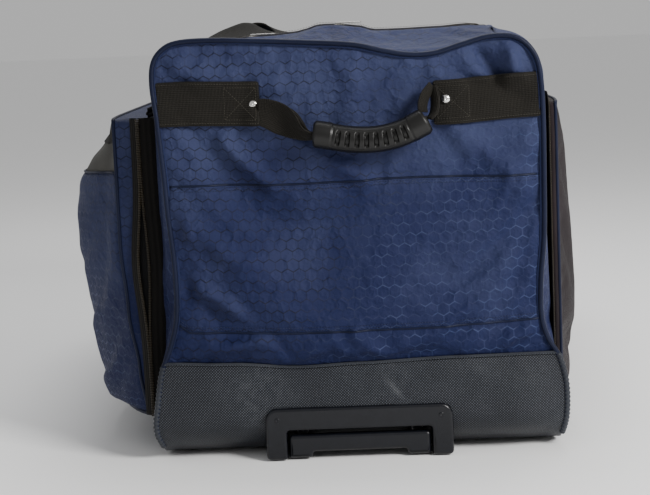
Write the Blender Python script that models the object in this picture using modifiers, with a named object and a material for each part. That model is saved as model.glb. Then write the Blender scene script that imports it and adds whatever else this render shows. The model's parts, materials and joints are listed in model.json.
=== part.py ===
"""Wheeled ice-hockey equipment bag: a sewn fabric body on a tough base, with a telescopic pull handle at one
end, two inline wheels at the other, a zipped lid, two zipped side pockets and webbing handles.

Frame: metres, +Z up, the bag stands on the plane z = 0. Its long axis is Y and the pull-handle end faces -Y.
"""

import math

import bmesh
import bpy
from mathutils import Matrix, Vector

# ---------------------------------------------------------------- driving dimensions
BODY_WIDTH = 0.455
BODY_LENGTH = 0.900
BODY_TOP = 0.472
FLOOR_Z = 0.010  # underside of the base fabric
BASE_TOP = 0.112  # top edge of the tough base fabric
FABRIC = 0.003  # fabric with its lining and foam
GAP = 0.0005  # gap kept between neighbouring pieces
CORNER_R = 0.050  # rounding of the body's top corners and of the base's front roll
WEBBING_WIDTH = 0.050
WEBBING = 0.0024
PIPING_R = 0.003

LEFT_POCKET_DEPTH = 0.105
RIGHT_POCKET_DEPTH = 0.024

WHEEL_R = 0.038
WHEEL_WIDTH = 0.024

# ---------------------------------------------------------------- worked out from them
HALF_W = BODY_WIDTH / 2
HALF_L = BODY_LENGTH / 2
WRAP_HALF_L = HALF_L - FABRIC - GAP
HANG_X = HALF_W + RIGHT_POCKET_DEPTH + 0.010  # plane in which the right carry loop hangs
LEFT_EXTENT = HALF_W + LEFT_POCKET_DEPTH + 0.0001
RIGHT_EXTENT = HANG_X + 0.0057
BODY_X = (LEFT_EXTENT - RIGHT_EXTENT) / 2  # puts the middle of the whole width at x = 0

STRAP_Z = 0.402  # middle of the end straps
STRAP_END = 0.100  # inner end of each end strap
RIVET_X = 0.110

ZIP_HALF = 0.169  # half width of the lid's mouth, at the outer edge of its tape
ZIP_FRONT_Y = -0.3845
ZIP_REAR_Y = 0.3822
ZIP_CORNER_R = 0.050
TAPE = 0.0115  # width of one zip tape
TAPE_Z = (BODY_TOP - 0.0025, BODY_TOP - 0.0005)
COIL_Y = ZIP_FRONT_Y + TAPE + GAP / 2

POCKET_FRONT_Y = -0.400
POCKET_REAR_Y = 0.340
POCKET_BOTTOM = 0.047
POCKET_TOP = 0.395
POCKET_WALL = 0.0025
VENT_MESH = 0.0010

HOUSING_HALF = 0.1075
HOUSING_TOP = 0.0605
HOUSING_FRONT_Y = -0.463
HOUSING_BACK_Y = -0.4015
RECESS_HALF = 0.0835
RECESS_TOP = 0.0345
RECESS_BACK_Y = -0.412
TUBE_X = 0.067
TUBE_Z = 0.0225
BAR_FRONT_Y = -0.4615
BAR_DEPTH = 0.014

CUP_IN, CUP_OUT = 0.165, 0.2235  # wheel cup, from its inner to its outer side
CUP_FRONT_Y, CUP_REAR_Y = 0.358, 0.456
CUP_BOTTOM, CUP_TOP = 0.006, 0.092
WHEEL_X = 0.19425
WHEEL_Y = 0.438
AXLE_R = 0.0040
HOLE_CLEARANCE = 0.0003

BOARD_Z = 0.0325
BOARD = 0.003

ROUND_STEPS = 28


# ---------------------------------------------------------------- scene, materials and bodies
def clear_scene():
    for obj in list(bpy.data.objects):
        bpy.data.objects.remove(obj, do_unlink=True)


def new_collection(name, hidden=False):
    collection = bpy.data.collections.new(name)
    bpy.context.scene.collection.children.link(collection)
    collection.hide_render = hidden
    return collection


def make_material(name, colour, roughness, metallic=0.0):
    material = bpy.data.materials.new(name)
    material.use_nodes = True
    shader = material.node_tree.nodes["Principled BSDF"]
    shader.inputs["Base Color"].default_value = (*colour, 1.0)
    shader.inputs["Roughness"].default_value = roughness
    shader.inputs["Metallic"].default_value = metallic
    return material


clear_scene()
BAG = new_collection("hockey_equipment_bag")
CUTTERS = new_collection("cutters", hidden=True)

NAVY = make_material("navy_fabric", (0.020, 0.040, 0.140), 0.60)
BASE_BLACK = make_material("base_fabric", (0.015, 0.017, 0.024), 0.50)
POCKET_BLACK = make_material("pocket_fabric", (0.030, 0.022, 0.028), 0.65)
WEBBING_BLACK = make_material("webbing", (0.022, 0.020, 0.018), 0.75)
ZIP_TAPE = make_material("zip_tape", (0.012, 0.012, 0.012), 0.70)
MESH_GREY = make_material("vent_mesh", (0.150, 0.140, 0.120), 0.80)
PIPING = make_material("piping", (0.015, 0.025, 0.080), 0.50)
GRIP_PLASTIC = make_material("grip_plastic", (0.030, 0.030, 0.030), 0.42)
HOUSING_PLASTIC = make_material("housing_plastic", (0.012, 0.012, 0.016), 0.38)
TUBE_METAL = make_material("tube_metal", (0.550, 0.560, 0.580), 0.35, 1.0)
STEEL = make_material("steel", (0.600, 0.600, 0.600), 0.25, 1.0)
TYRE_RUBBER = make_material("tyre", (0.030, 0.030, 0.032), 0.55)
HUB_PLASTIC = make_material("hub_plastic", (0.120, 0.125, 0.130), 0.45)
BOARD_PLASTIC = make_material("board_plastic", (0.050, 0.050, 0.055), 0.55)


def make_body(name, x=0.0, y=0.0, z=0.0):
    """An empty on the joint's axis, in the bag's own coordinates, that carries one moving body."""
    empty = bpy.data.objects.new("body_" + name, None)
    BAG.objects.link(empty)
    empty.location = (x + BODY_X, y, z)
    return empty


def place(obj, name, material, body, centre=(0.0, 0.0, 0.0), rotation=(0.0, 0.0, 0.0)):
    """Names a piece, gives it its material and sets it, in the bag's own coordinates, on its body's empty."""
    obj.name = name
    obj.data.name = name
    obj.data.materials.clear()
    obj.data.materials.append(material)
    offset = Vector((BODY_X, 0.0, 0.0)) - body.location
    obj.parent = body
    obj.location = Vector(centre) + offset
    obj.rotation_euler = rotation
    for collection in list(obj.users_collection):
        collection.objects.unlink(obj)
    BAG.objects.link(obj)
    return obj


# ---------------------------------------------------------------- shapes
UPRIGHT_ACROSS = (math.radians(90), 0.0, 0.0)  # an outline (x, z), its thickness along Y
UPRIGHT_ALONG = (math.radians(90), 0.0, math.radians(90))  # an outline (y, z), its thickness along X
TURN_TO_X = (0.0, math.radians(90), 0.0)
TURN_TO_Y = (math.radians(-90), 0.0, 0.0)


def fillet(corners, steps=6):
    """The outline through (x, y, radius) corners, each rounded by its own radius."""
    outline = []
    for i, (x, y, radius) in enumerate(corners):
        here = Vector((x, y))
        if radius <= 0:
            outline.append(here)
            continue
        back = (Vector(corners[i - 1][:2]) - here).normalized()
        ahead = (Vector(corners[(i + 1) % len(corners)][:2]) - here).normalized()
        half = back.angle(ahead) / 2
        centre = here + (back + ahead).normalized() * (radius / math.sin(half))
        first = here + back * (radius / math.tan(half)) - centre
        last = here + ahead * (radius / math.tan(half)) - centre
        sweep = first.angle_signed(last)
        for k in range(steps + 1):
            turn = -sweep * k / steps
            outline.append(
                centre
                + Vector(
                    (
                        first.x * math.cos(turn) - first.y * math.sin(turn),
                        first.x * math.sin(turn) + first.y * math.cos(turn),
                    )
                )
            )
    return outline


def outline_curve(outline, thickness):
    """A flat outline as a filled 2D curve, extruded to its thickness about its own plane."""
    curve = bpy.data.curves.new("outline", "CURVE")
    curve.dimensions = "2D"
    curve.fill_mode = "BOTH"
    curve.extrude = thickness / 2
    spline = curve.splines.new("POLY")
    spline.points.add(len(outline) - 1)
    for point, (x, y) in zip(spline.points, outline):
        point.co = (x, y, 0.0, 1.0)
    spline.use_cyclic_u = True
    obj = bpy.data.objects.new("outline", curve)
    BAG.objects.link(obj)
    return obj


def plate(name, material, body, outline, low, high, rotation=(0.0, 0.0, 0.0)):
    """A flat piece between two levels, low and high, along the axis that its rotation turns it to face."""
    middle = (low + high) / 2
    centre = {
        UPRIGHT_ACROSS: (0.0, middle, 0.0),
        UPRIGHT_ALONG: (middle, 0.0, 0.0),
    }.get(rotation, (0.0, 0.0, middle))
    return place(outline_curve(outline, high - low), name, material, body, centre, rotation)


def rectangle(x0, x1, y0, y1, radius=0.0):
    return fillet([(x0, y0, radius), (x1, y0, radius), (x1, y1, radius), (x0, y1, radius)])


def mesh_of(obj):
    """The evaluated object as a mesh object with welded caps, ready for a Boolean."""
    bpy.context.view_layer.update()
    graph = bpy.context.evaluated_depsgraph_get()
    mesh = bpy.data.meshes.new_from_object(obj.evaluated_get(graph))
    welded = bmesh.new()
    welded.from_mesh(mesh)
    bmesh.ops.remove_doubles(welded, verts=welded.verts, dist=1e-6)
    bmesh.ops.recalc_face_normals(welded, faces=welded.faces)
    welded.to_mesh(mesh)
    welded.free()
    made = bpy.data.objects.new(obj.name, mesh)
    BAG.objects.link(made)
    made.parent = obj.parent
    made.location = obj.location
    made.rotation_euler = obj.rotation_euler
    name = obj.name
    bpy.data.objects.remove(obj, do_unlink=True)
    made.name = name
    return made


def box_cutter(low, high):
    """A hidden box between two corners, in the bag's own coordinates."""
    low, high = Vector(low), Vector(high)
    bpy.ops.mesh.primitive_cube_add(size=1.0)
    cutter = bpy.context.object
    cutter.data.transform(Matrix.Diagonal((*(high - low), 1.0)))
    return hide_cutter(cutter, (low + high) / 2)


def hide_cutter(cutter, centre):
    cutter.location = Vector(centre) + Vector((BODY_X, 0.0, 0.0))
    cutter.hide_render = True
    cutter.display_type = "WIRE"
    for collection in list(cutter.users_collection):
        collection.objects.unlink(cutter)
    CUTTERS.objects.link(cutter)
    return cutter


def round_cutter(radius, length, centre, rotation):
    bpy.ops.mesh.primitive_cylinder_add(vertices=ROUND_STEPS, radius=radius, depth=length, rotation=rotation)
    return hide_cutter(bpy.context.object, centre)


def boolean(obj, other, operation="DIFFERENCE"):
    modifier = obj.modifiers.new(operation.lower(), "BOOLEAN")
    modifier.operation = operation
    modifier.object = other


def turned(name, material, body, profile, centre, rotation, closed=False):
    """A turned piece: (radius, height) points down its outer side, screwed about the local Z axis."""
    mesh = bpy.data.meshes.new(name)
    count = len(profile)
    edges = [(i, i + 1) for i in range(count - 1)]
    if closed:
        edges.append((count - 1, 0))
    mesh.from_pydata([(radius, 0.0, height) for radius, height in profile], edges, [])
    obj = bpy.data.objects.new(name, mesh)
    BAG.objects.link(obj)
    screw = obj.modifiers.new("turn", "SCREW")
    screw.steps = screw.render_steps = ROUND_STEPS
    screw.use_merge_vertices = True
    screw.merge_threshold = 1e-5
    screw.use_smooth_shade = True
    return place(obj, name, material, body, centre, rotation)


def pipe(name, material, body, outer, inner, y0, y1, x, z):
    """A straight tube along Y."""
    half = (y1 - y0) / 2
    profile = [(outer, half), (outer, -half), (inner, -half), (inner, half)]
    return turned(name, material, body, profile, (x, (y0 + y1) / 2, z), TURN_TO_Y, closed=True)


def rod(name, material, body, points, radius, resolution=2):
    """A round cord or bar along a list of points, with filled ends."""
    curve = bpy.data.curves.new(name, "CURVE")
    curve.dimensions = "3D"
    curve.bevel_depth = radius
    curve.bevel_resolution = resolution
    curve.use_fill_caps = True
    spline = curve.splines.new("POLY")
    spline.points.add(len(points) - 1)
    for point, co in zip(spline.points, points):
        point.co = (*co, 1.0)
    obj = bpy.data.objects.new(name, curve)
    BAG.objects.link(obj)
    return place(obj, name, material, body)


def smooth_path(points, per_span=4):
    """Points of a Catmull-Rom curve through the given ones."""
    points = [Vector(p) for p in points]
    padded = [2 * points[0] - points[1], *points, 2 * points[-1] - points[-2]]
    path = []
    for i in range(1, len(padded) - 2):
        before, a, b, after = padded[i - 1 : i + 3]
        for k in range(per_span):
            t = k / per_span
            path.append(
                0.5
                * (
                    2 * a
                    + (b - before) * t
                    + (2 * before - 5 * a + 4 * b - after) * t**2
                    + (3 * a - before - 3 * b + after) * t**3
                )
            )
    path.append(points[-1])
    return path


def band(name, material, body, path, across, widths, thickness):
    """A strap lofted along a path: at each point it has a direction across it and a width."""
    mesh = bmesh.new()
    sections = []
    for i, point in enumerate(path):
        tangent = (path[min(i + 1, len(path) - 1)] - path[max(i - 1, 0)]).normalized()
        side = Vector(across[i])
        side = (side - tangent * side.dot(tangent)).normalized()
        up = tangent.cross(side)
        half = side * (widths[i] / 2)
        lift = up * (thickness / 2)
        corners = (-half - lift, half - lift, half + lift, -half + lift)
        sections.append([mesh.verts.new(point + corner) for corner in corners])
    for first, second in zip(sections, sections[1:]):
        for k in range(4):
            mesh.faces.new((first[k], second[k], second[(k + 1) % 4], first[(k + 1) % 4]))
    mesh.faces.new(sections[0])
    mesh.faces.new(sections[-1][::-1])
    bmesh.ops.recalc_face_normals(mesh, faces=mesh.faces)
    data = bpy.data.meshes.new(name)
    mesh.to_mesh(data)
    mesh.free()
    obj = bpy.data.objects.new(name, data)
    BAG.objects.link(obj)
    return place(obj, name, material, body)


# ---------------------------------------------------------------- the tough base
ROOT = make_body("bag")
LEFT, RIGHT = -1, 1


def base():
    floor_edge = HALF_W - FABRIC - 2 * GAP
    notch_x, notch_y = CUP_IN - 0.0015, CUP_FRONT_Y - 0.0045
    rear_y = WRAP_HALF_L - GAP
    floor = fillet(
        [
            (-floor_edge, -HALF_L + CORNER_R + GAP, 0),
            (floor_edge, -HALF_L + CORNER_R + GAP, 0),
            (floor_edge, notch_y, 0),
            (notch_x, notch_y, 0),
            (notch_x, rear_y, 0),
            (-notch_x, rear_y, 0),
            (-notch_x, notch_y, 0),
            (-floor_edge, notch_y, 0),
        ]
    )
    plate("base_floor_panel", BASE_BLACK, ROOT, floor, FLOOR_Z, FLOOR_Z + FABRIC)

    # The front panel runs down the end and rolls under it into the floor.
    roll = CORNER_R
    outer = [(-HALF_L, BASE_TOP)] + [
        (-HALF_L + roll - roll * math.cos(a), FLOOR_Z + roll - roll * math.sin(a))
        for a in (math.radians(90) * k / 6 for k in range(7))
    ]
    inner = [(-HALF_L + FABRIC, BASE_TOP)] + [
        (-HALF_L + roll - (roll - FABRIC) * math.cos(a), FLOOR_Z + roll - (roll - FABRIC) * math.sin(a))
        for a in (math.radians(90) * k / 6 for k in range(7))
    ]
    front = plate(
        "base_front_panel", BASE_BLACK, ROOT, outer + inner[::-1], -floor_edge, floor_edge, UPRIGHT_ALONG
    )
    front = mesh_of(front)
    opening = HOUSING_HALF + GAP
    boolean(front, box_cutter((-opening, -0.5, -0.02), (opening, -0.3, HOUSING_TOP + GAP)))

    rear = fillet(
        [
            (-notch_x, FLOOR_Z, 0),
            (notch_x, FLOOR_Z, 0),
            (notch_x, CUP_TOP + 0.001, 0),
            (floor_edge, CUP_TOP + 0.001, 0),
            (floor_edge, BASE_TOP, 0),
            (-floor_edge, BASE_TOP, 0),
            (-floor_edge, CUP_TOP + 0.001, 0),
            (-notch_x, CUP_TOP + 0.001, 0),
        ]
    )
    plate("base_rear_panel", BASE_BLACK, ROOT, rear, HALF_L - FABRIC, HALF_L, UPRIGHT_ACROSS)

    side = fillet(
        [
            (-WRAP_HALF_L, FLOOR_Z, CORNER_R),
            (WRAP_HALF_L, FLOOR_Z, 0.012),
            (WRAP_HALF_L, BASE_TOP, 0),
            (-WRAP_HALF_L, BASE_TOP, 0),
        ]
    )
    for name, low in (("base_side_left", -HALF_W), ("base_side_right", HALF_W - FABRIC)):
        plate(name, BASE_BLACK, ROOT, side, low, low + FABRIC, UPRIGHT_ALONG)

    board = rectangle(-HALF_W + 0.0055, HALF_W - 0.0055, -0.396, CUP_FRONT_Y - 0.006)
    plate("floor_board", BOARD_PLASTIC, ROOT, board, BOARD_Z, BOARD_Z + BOARD)


# ---------------------------------------------------------------- sewn body panels
def end_outline(grow=0.0):
    x, top = HALF_W + grow, BODY_TOP + grow
    radius = CORNER_R + grow
    return [(-x, BASE_TOP + GAP, 0), (x, BASE_TOP + GAP, 0), (x, top, radius), (-x, top, radius)]


def ends():
    panel = fillet(end_outline())
    plate("end_panel_front", NAVY, ROOT, panel, -HALF_L, -HALF_L + FABRIC, UPRIGHT_ACROSS)
    plate("end_panel_rear", NAVY, ROOT, panel, HALF_L - FABRIC, HALF_L, UPRIGHT_ACROSS)
    overlay = rectangle(-HALF_W + 0.006, HALF_W - 0.006, 0.147, 0.310)
    plate("end_overlay_front", NAVY, ROOT, overlay, -HALF_L - GAP - 0.002, -HALF_L - GAP, UPRIGHT_ACROSS)
    reach = PIPING_R + GAP
    arch = fillet(
        [
            (-HALF_W - reach, 0.030, 0),
            (-HALF_W - reach, BODY_TOP + reach, CORNER_R + reach),
            (HALF_W + reach, BODY_TOP + reach, CORNER_R + reach),
            (HALF_W + reach, 0.030, 0),
        ]
    )
    for name, y in (("piping_front", -HALF_L + 0.0015), ("piping_rear", HALF_L - 0.0015)):
        rod(name, PIPING, ROOT, [(x, y, z) for x, z in arch], PIPING_R)


def sides_and_top():
    shoulder_z = BODY_TOP - CORNER_R
    for name, side in (("side_wrap_left", LEFT), ("side_wrap_right", RIGHT)):
        centre_x = HALF_W - CORNER_R
        turns = [math.radians(90) * k / 6 for k in range(7)]
        outer = [(HALF_W, BASE_TOP + GAP)]
        outer += [(centre_x + CORNER_R * math.cos(a), shoulder_z + CORNER_R * math.sin(a)) for a in turns]
        outer += [(ZIP_HALF + GAP, BODY_TOP)]
        inner_r = CORNER_R - FABRIC
        inner = [(HALF_W - FABRIC, BASE_TOP + GAP)]
        inner += [(centre_x + inner_r * math.cos(a), shoulder_z + inner_r * math.sin(a)) for a in turns]
        inner += [(ZIP_HALF + GAP, BODY_TOP - FABRIC)]
        outline = [(x * side, z) for x, z in outer + inner[::-1]]
        plate(name, NAVY, ROOT, outline, -WRAP_HALF_L, WRAP_HALF_L, UPRIGHT_ACROSS)

    half, front = ZIP_HALF, ZIP_FRONT_Y - GAP
    fill_y = front + ZIP_CORNER_R
    strip = [Vector((-half, -WRAP_HALF_L)), Vector((half, -WRAP_HALF_L))]
    turns = [math.radians(90) * k / 6 for k in range(7)]
    centre_x = half - ZIP_CORNER_R
    strip += [
        Vector((centre_x + ZIP_CORNER_R * math.cos(a), fill_y - ZIP_CORNER_R * math.sin(a))) for a in turns
    ]
    strip += [
        Vector((-centre_x - ZIP_CORNER_R * math.sin(a), fill_y - ZIP_CORNER_R * math.cos(a))) for a in turns
    ]
    plate("top_strip_front", NAVY, ROOT, strip, BODY_TOP - FABRIC, BODY_TOP)
    rear = rectangle(-half, half, ZIP_REAR_Y + 0.0033, WRAP_HALF_L)
    plate("top_strip_rear", NAVY, ROOT, rear, BODY_TOP - FABRIC, BODY_TOP)


# ---------------------------------------------------------------- lid and its zip
def mouth_path(inset):
    """The U that runs down the left side of the mouth, across its front and up its right side."""
    x, y = ZIP_HALF - GAP - inset, ZIP_FRONT_Y + inset
    radius = ZIP_CORNER_R - inset
    path = fillet([(-x, ZIP_REAR_Y, 0), (-x, y, radius), (x, y, radius), (x, ZIP_REAR_Y, 0)])
    return path


def lid():
    outer_tape = mouth_path(0.0) + mouth_path(TAPE)[::-1]
    plate("main_zip_tape_outer", ZIP_TAPE, ROOT, outer_tape, *TAPE_Z)
    body = make_body("lid", 0.0, ZIP_REAR_Y + GAP, BODY_TOP)
    inner_tape = mouth_path(TAPE + GAP) + mouth_path(2 * TAPE + GAP)[::-1]
    plate("main_zip_tape_inner", ZIP_TAPE, body, inner_tape, *TAPE_Z)
    plate("lid_panel", NAVY, body, mouth_path(2 * TAPE + 2 * GAP), BODY_TOP - FABRIC, BODY_TOP)


SLIDER_LIFT = 0.0022  # from the tape's face to the middle of a slider
TAB_LIFT = 0.0030  # from the middle of a slider to the middle of its tab


def slider(name, centre, outward, rotation=(0.0, 0.0, 0.0)):
    """A zip slider and its pull tab, both lying along local +X; outward points away from the tape."""
    block = fillet(
        [(-0.006, -0.004, 0.0015), (0.006, -0.0028, 0.0015), (0.006, 0.0028, 0.0015), (-0.006, 0.004, 0.0015)],
        3,
    )
    centre = Vector(centre)
    place(outline_curve(block, 0.0034), name, STEEL, make_body(name, *centre), centre, rotation)
    tab = fillet(
        [(-0.0009, -0.0030, 0), (0.026, -0.0042, 0.003), (0.026, 0.0042, 0.003), (-0.0009, 0.0030, 0)],
        3,
    )
    hinge = centre + Vector(outward) * TAB_LIFT
    tab_name = name.replace("slider", "pull_tab")
    place(outline_curve(tab, 0.0012), tab_name, STEEL, make_body(tab_name, *hinge), hinge, rotation)


def main_sliders():
    z = TAPE_Z[1] + SLIDER_LIFT + GAP
    for letter, x in (("a", -0.105), ("b", -0.005)):
        slider(f"main_slider_{letter}", (x, COIL_Y, z), (0, 0, 1))


# ---------------------------------------------------------------- end handles
def handle_path(facing):
    """Points of the webbing that hangs between the straps and runs through the grip, and their widths."""
    y = facing * (HALF_L + 0.0068)
    deep = facing * (HALF_L + 0.020)
    points = [
        (-STRAP_END - 0.004, y, STRAP_Z),
        (-0.082, facing * (HALF_L + 0.012), 0.393),
        (-0.062, facing * (HALF_L + 0.017), 0.379),
        (-0.041, deep, 0.3665),
        (0.000, deep, 0.3600),
        (0.026, deep, 0.3590),
        (0.052, deep, 0.3610),
        (0.090, facing * (HALF_L + 0.0195), 0.3770),
        (0.100, facing * (HALF_L + 0.012), 0.3900),
        (STRAP_END + 0.005, y, STRAP_Z),
    ]
    widths = [0.040, 0.034, 0.026, 0.017, 0.017, 0.017, 0.017, 0.017, 0.030, 0.040]
    per_span = 3
    path = smooth_path(points, per_span)
    along = []
    for first, second in zip(widths, widths[1:]):
        along += [first + (second - first) * k / per_span for k in range(per_span)]
    return path, along + [widths[-1]]


GRIP_R = 0.0155
GRIP_BORE = 0.0105
GRIP_FIRST, GRIP_LAST = 9, 21  # the stretch of the handle's path that the grip covers


def end_handle(name, facing):
    body = make_body(name + "_handle", 0.0, facing * (HALF_L + 0.0056), STRAP_Z + 0.021)
    path, widths = handle_path(facing)
    ahead = [path[min(i + 1, len(path) - 1)] - path[max(i - 1, 0)] for i in range(len(path))]
    across = [a.cross(Vector((0.0, -1.0, 0.0))) for a in ahead]
    band(f"{name}_handle_webbing", WEBBING_BLACK, body, path, across, widths, WEBBING)
    centre = path[GRIP_FIRST : GRIP_LAST + 1]
    grip = bmesh.new()
    sides = 14
    rings = []
    for i, point in enumerate(centre):
        tangent = (centre[min(i + 1, len(centre) - 1)] - centre[max(i - 1, 0)]).normalized()
        out = Vector((0.0, 1.0, 0.0))
        out = (out - tangent * out.dot(tangent)).normalized()
        up = tangent.cross(out)
        turns = [2 * math.pi * k / sides for k in range(sides)]
        rings.append([grip.verts.new(point + (out * math.cos(a) + up * math.sin(a)) * GRIP_R) for a in turns])
    for first, second in zip(rings, rings[1:]):
        for k in range(sides):
            grip.faces.new((first[k], first[(k + 1) % sides], second[(k + 1) % sides], second[k]))
    bmesh.ops.recalc_face_normals(grip, faces=grip.faces)
    data = bpy.data.meshes.new(f"{name}_handle_grip")
    grip.to_mesh(data)
    grip.free()
    obj = bpy.data.objects.new(f"{name}_handle_grip", data)
    BAG.objects.link(obj)
    place(obj, f"{name}_handle_grip", GRIP_PLASTIC, body)
    wall = obj.modifiers.new("wall", "SOLIDIFY")
    wall.thickness = GRIP_R - GRIP_BORE
    wall.offset = -1
    wall.use_even_offset = True
    normal = sum((p.normal.dot(p.center - centre_of(centre, p.center)) for p in data.polygons), 0.0)
    if normal < 0:
        data.flip_normals()


def centre_of(path, point):
    """The path's point nearest to the given one."""
    return min(path, key=lambda p: (p - point).length)


def straps_and_rivets():
    low, high = STRAP_Z - WEBBING_WIDTH / 2, STRAP_Z + WEBBING_WIDTH / 2
    face = HALF_L + GAP + 0.0002
    for side_name, side in (("left", LEFT), ("right", RIGHT)):
        x0, x1 = sorted((side * (HALF_W - 0.001), side * STRAP_END))
        strap = rectangle(x0, x1, low, high)
        plate(f"front_strap_{side_name}", WEBBING_BLACK, ROOT, strap, -face - FABRIC, -face, UPRIGHT_ACROSS)
    strap = rectangle(-HALF_W + 0.001, HALF_W - 0.001, low, high)
    plate("rear_strap", WEBBING_BLACK, ROOT, strap, face, face + FABRIC, UPRIGHT_ACROSS)
    dome = [(0.0, 0.0032), (0.0022, 0.0030), (0.0042, 0.0022), (0.0054, 0.0008), (0.0054, 0.0), (0.0, 0.0)]
    seat = face + FABRIC + 0.0003
    for side_name, side in (("left", LEFT), ("right", RIGHT)):
        centre = (side * RIVET_X, -seat, STRAP_Z + 0.004)
        turned(f"front_rivet_{side_name}", STEEL, ROOT, dome, centre, (math.radians(90), 0, 0))


# ---------------------------------------------------------------- side pockets
def pocket_sections(depths):
    """Cross-sections (y, [(depth, z), ...]) of a pocket, from its front to its rear.

    depths gives, for the ends and for the middle, the depth at the top edge, at the shoulder of the slanted
    vent, at the belly, low down, and at the foot.
    """
    heights = (POCKET_TOP, POCKET_TOP - 0.001, 0.335, 0.250, 0.150, POCKET_BOTTOM + 0.001, POCKET_BOTTOM)
    sections = []
    fullness = ((POCKET_FRONT_Y, 0.0), (-0.345, 0.75), (-0.250, 1.0), (0.180, 1.0), (0.280, 0.75), (POCKET_REAR_Y, 0.0))
    for y, share in fullness:
        ring = [0.0] + [a + (b - a) * share for a, b in zip(*depths)] + [0.0]
        sections.append((y, list(zip(ring, heights))))
    return sections


def pocket_shell(name, material, body, side, depths, vent=None, only_vent=False):
    """An open shell against the bag's side: every face but the one on the bag, given its thickness."""
    base_x = HALF_W + 0.001
    sections = pocket_sections(depths)
    mesh = bmesh.new()
    rings = [[mesh.verts.new((side * (base_x + d), y, z)) for d, z in ring] for y, ring in sections]
    for i, (first, second) in enumerate(zip(rings, rings[1:])):
        for k in range(len(first) - 1):
            is_vent = vent is not None and k == vent and 1 <= i <= 3
            if is_vent == only_vent:
                mesh.faces.new((first[k], first[k + 1], second[k + 1], second[k]))
    if not only_vent:
        mesh.faces.new(rings[0])
        mesh.faces.new(rings[-1][::-1])
    bmesh.ops.recalc_face_normals(mesh, faces=mesh.faces)
    mesh.normal_update()
    outward = sum(f.normal.x * side * f.calc_area() for f in mesh.faces)
    if outward < 0:
        bmesh.ops.reverse_faces(mesh, faces=mesh.faces)
    if only_vent:
        shrink_patch(mesh, 0.0012)
    loose = [v for v in mesh.verts if not v.link_faces]
    bmesh.ops.delete(mesh, geom=loose, context="VERTS")
    data = bpy.data.meshes.new(name)
    mesh.to_mesh(data)
    mesh.free()
    obj = bpy.data.objects.new(name, data)
    BAG.objects.link(obj)
    place(obj, name, material, body)
    wall = obj.modifiers.new("wall", "SOLIDIFY")
    wall.thickness = VENT_MESH if only_vent else POCKET_WALL
    wall.offset = -1
    return obj


def shrink_patch(mesh, amount):
    """Pulls a patch's outline in by about the given amount, towards its middle."""
    patch = [v for v in mesh.verts if v.link_faces]
    middle = sum((v.co for v in patch), Vector()) / len(patch)
    span = Vector([max(abs(v.co[k] - middle[k]) for v in patch) for k in range(3)])
    for v in patch:
        for k in range(3):
            v.co[k] = middle[k] + (v.co[k] - middle[k]) * (1 - 2.4 * amount / span[k])


LEFT_DEPTHS = ((0.045, 0.048, 0.048, 0.046, 0.040), (0.050, 0.100, LEFT_POCKET_DEPTH - 0.001, 0.088, 0.045))
RIGHT_DEPTHS = ((0.014, 0.018, 0.018, 0.018, 0.014), (0.016, 0.023, RIGHT_POCKET_DEPTH - 0.001, 0.021, 0.015))
VENT_STRIP = 1  # the slanted strip between the top edge and the shoulder


def pocket_tape(name, side):
    """The zip tape on the bag's side, round the pocket's front, top and rear."""
    width = TAPE + 0.002
    front, rear, top = POCKET_FRONT_Y - GAP, POCKET_REAR_Y + GAP, POCKET_TOP + GAP
    outline = [
        (front - width, POCKET_BOTTOM),
        (front - width, top + width),
        (rear + width, top + width),
        (rear + width, POCKET_BOTTOM),
        (rear, POCKET_BOTTOM),
        (rear, top),
        (front, top),
        (front, POCKET_BOTTOM),
    ]
    low, high = sorted((side * (HALF_W + 0.0004), side * (HALF_W + 0.0019)))
    plate(name, ZIP_TAPE, ROOT, outline, low, high, UPRIGHT_ALONG)


def pockets():
    for name, side, material, depths in (
        ("left", LEFT, NAVY, LEFT_DEPTHS),
        ("right", RIGHT, POCKET_BLACK, RIGHT_DEPTHS),
    ):
        body = make_body(f"{name}_pocket", side * (HALF_W + 0.001), 0.0, POCKET_BOTTOM)
        vent = VENT_STRIP if side == LEFT else None
        pocket_shell(f"{name}_pocket_shell", material, body, side, depths, vent)
        if side == LEFT:
            pocket_shell("left_pocket_vent", MESH_GREY, body, side, depths, vent, only_vent=True)
        pocket_tape(f"{name}_pocket_zip_tape", side)
        x = side * (HALF_W + 0.0019 + SLIDER_LIFT)
        z = POCKET_TOP + GAP + TAPE / 2 + 0.002
        turn = (math.radians(90 * side), 0.0, math.radians(90))
        slider(f"{name}_pocket_slider", (x, -0.150, z), (side, 0, 0), turn)


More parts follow.
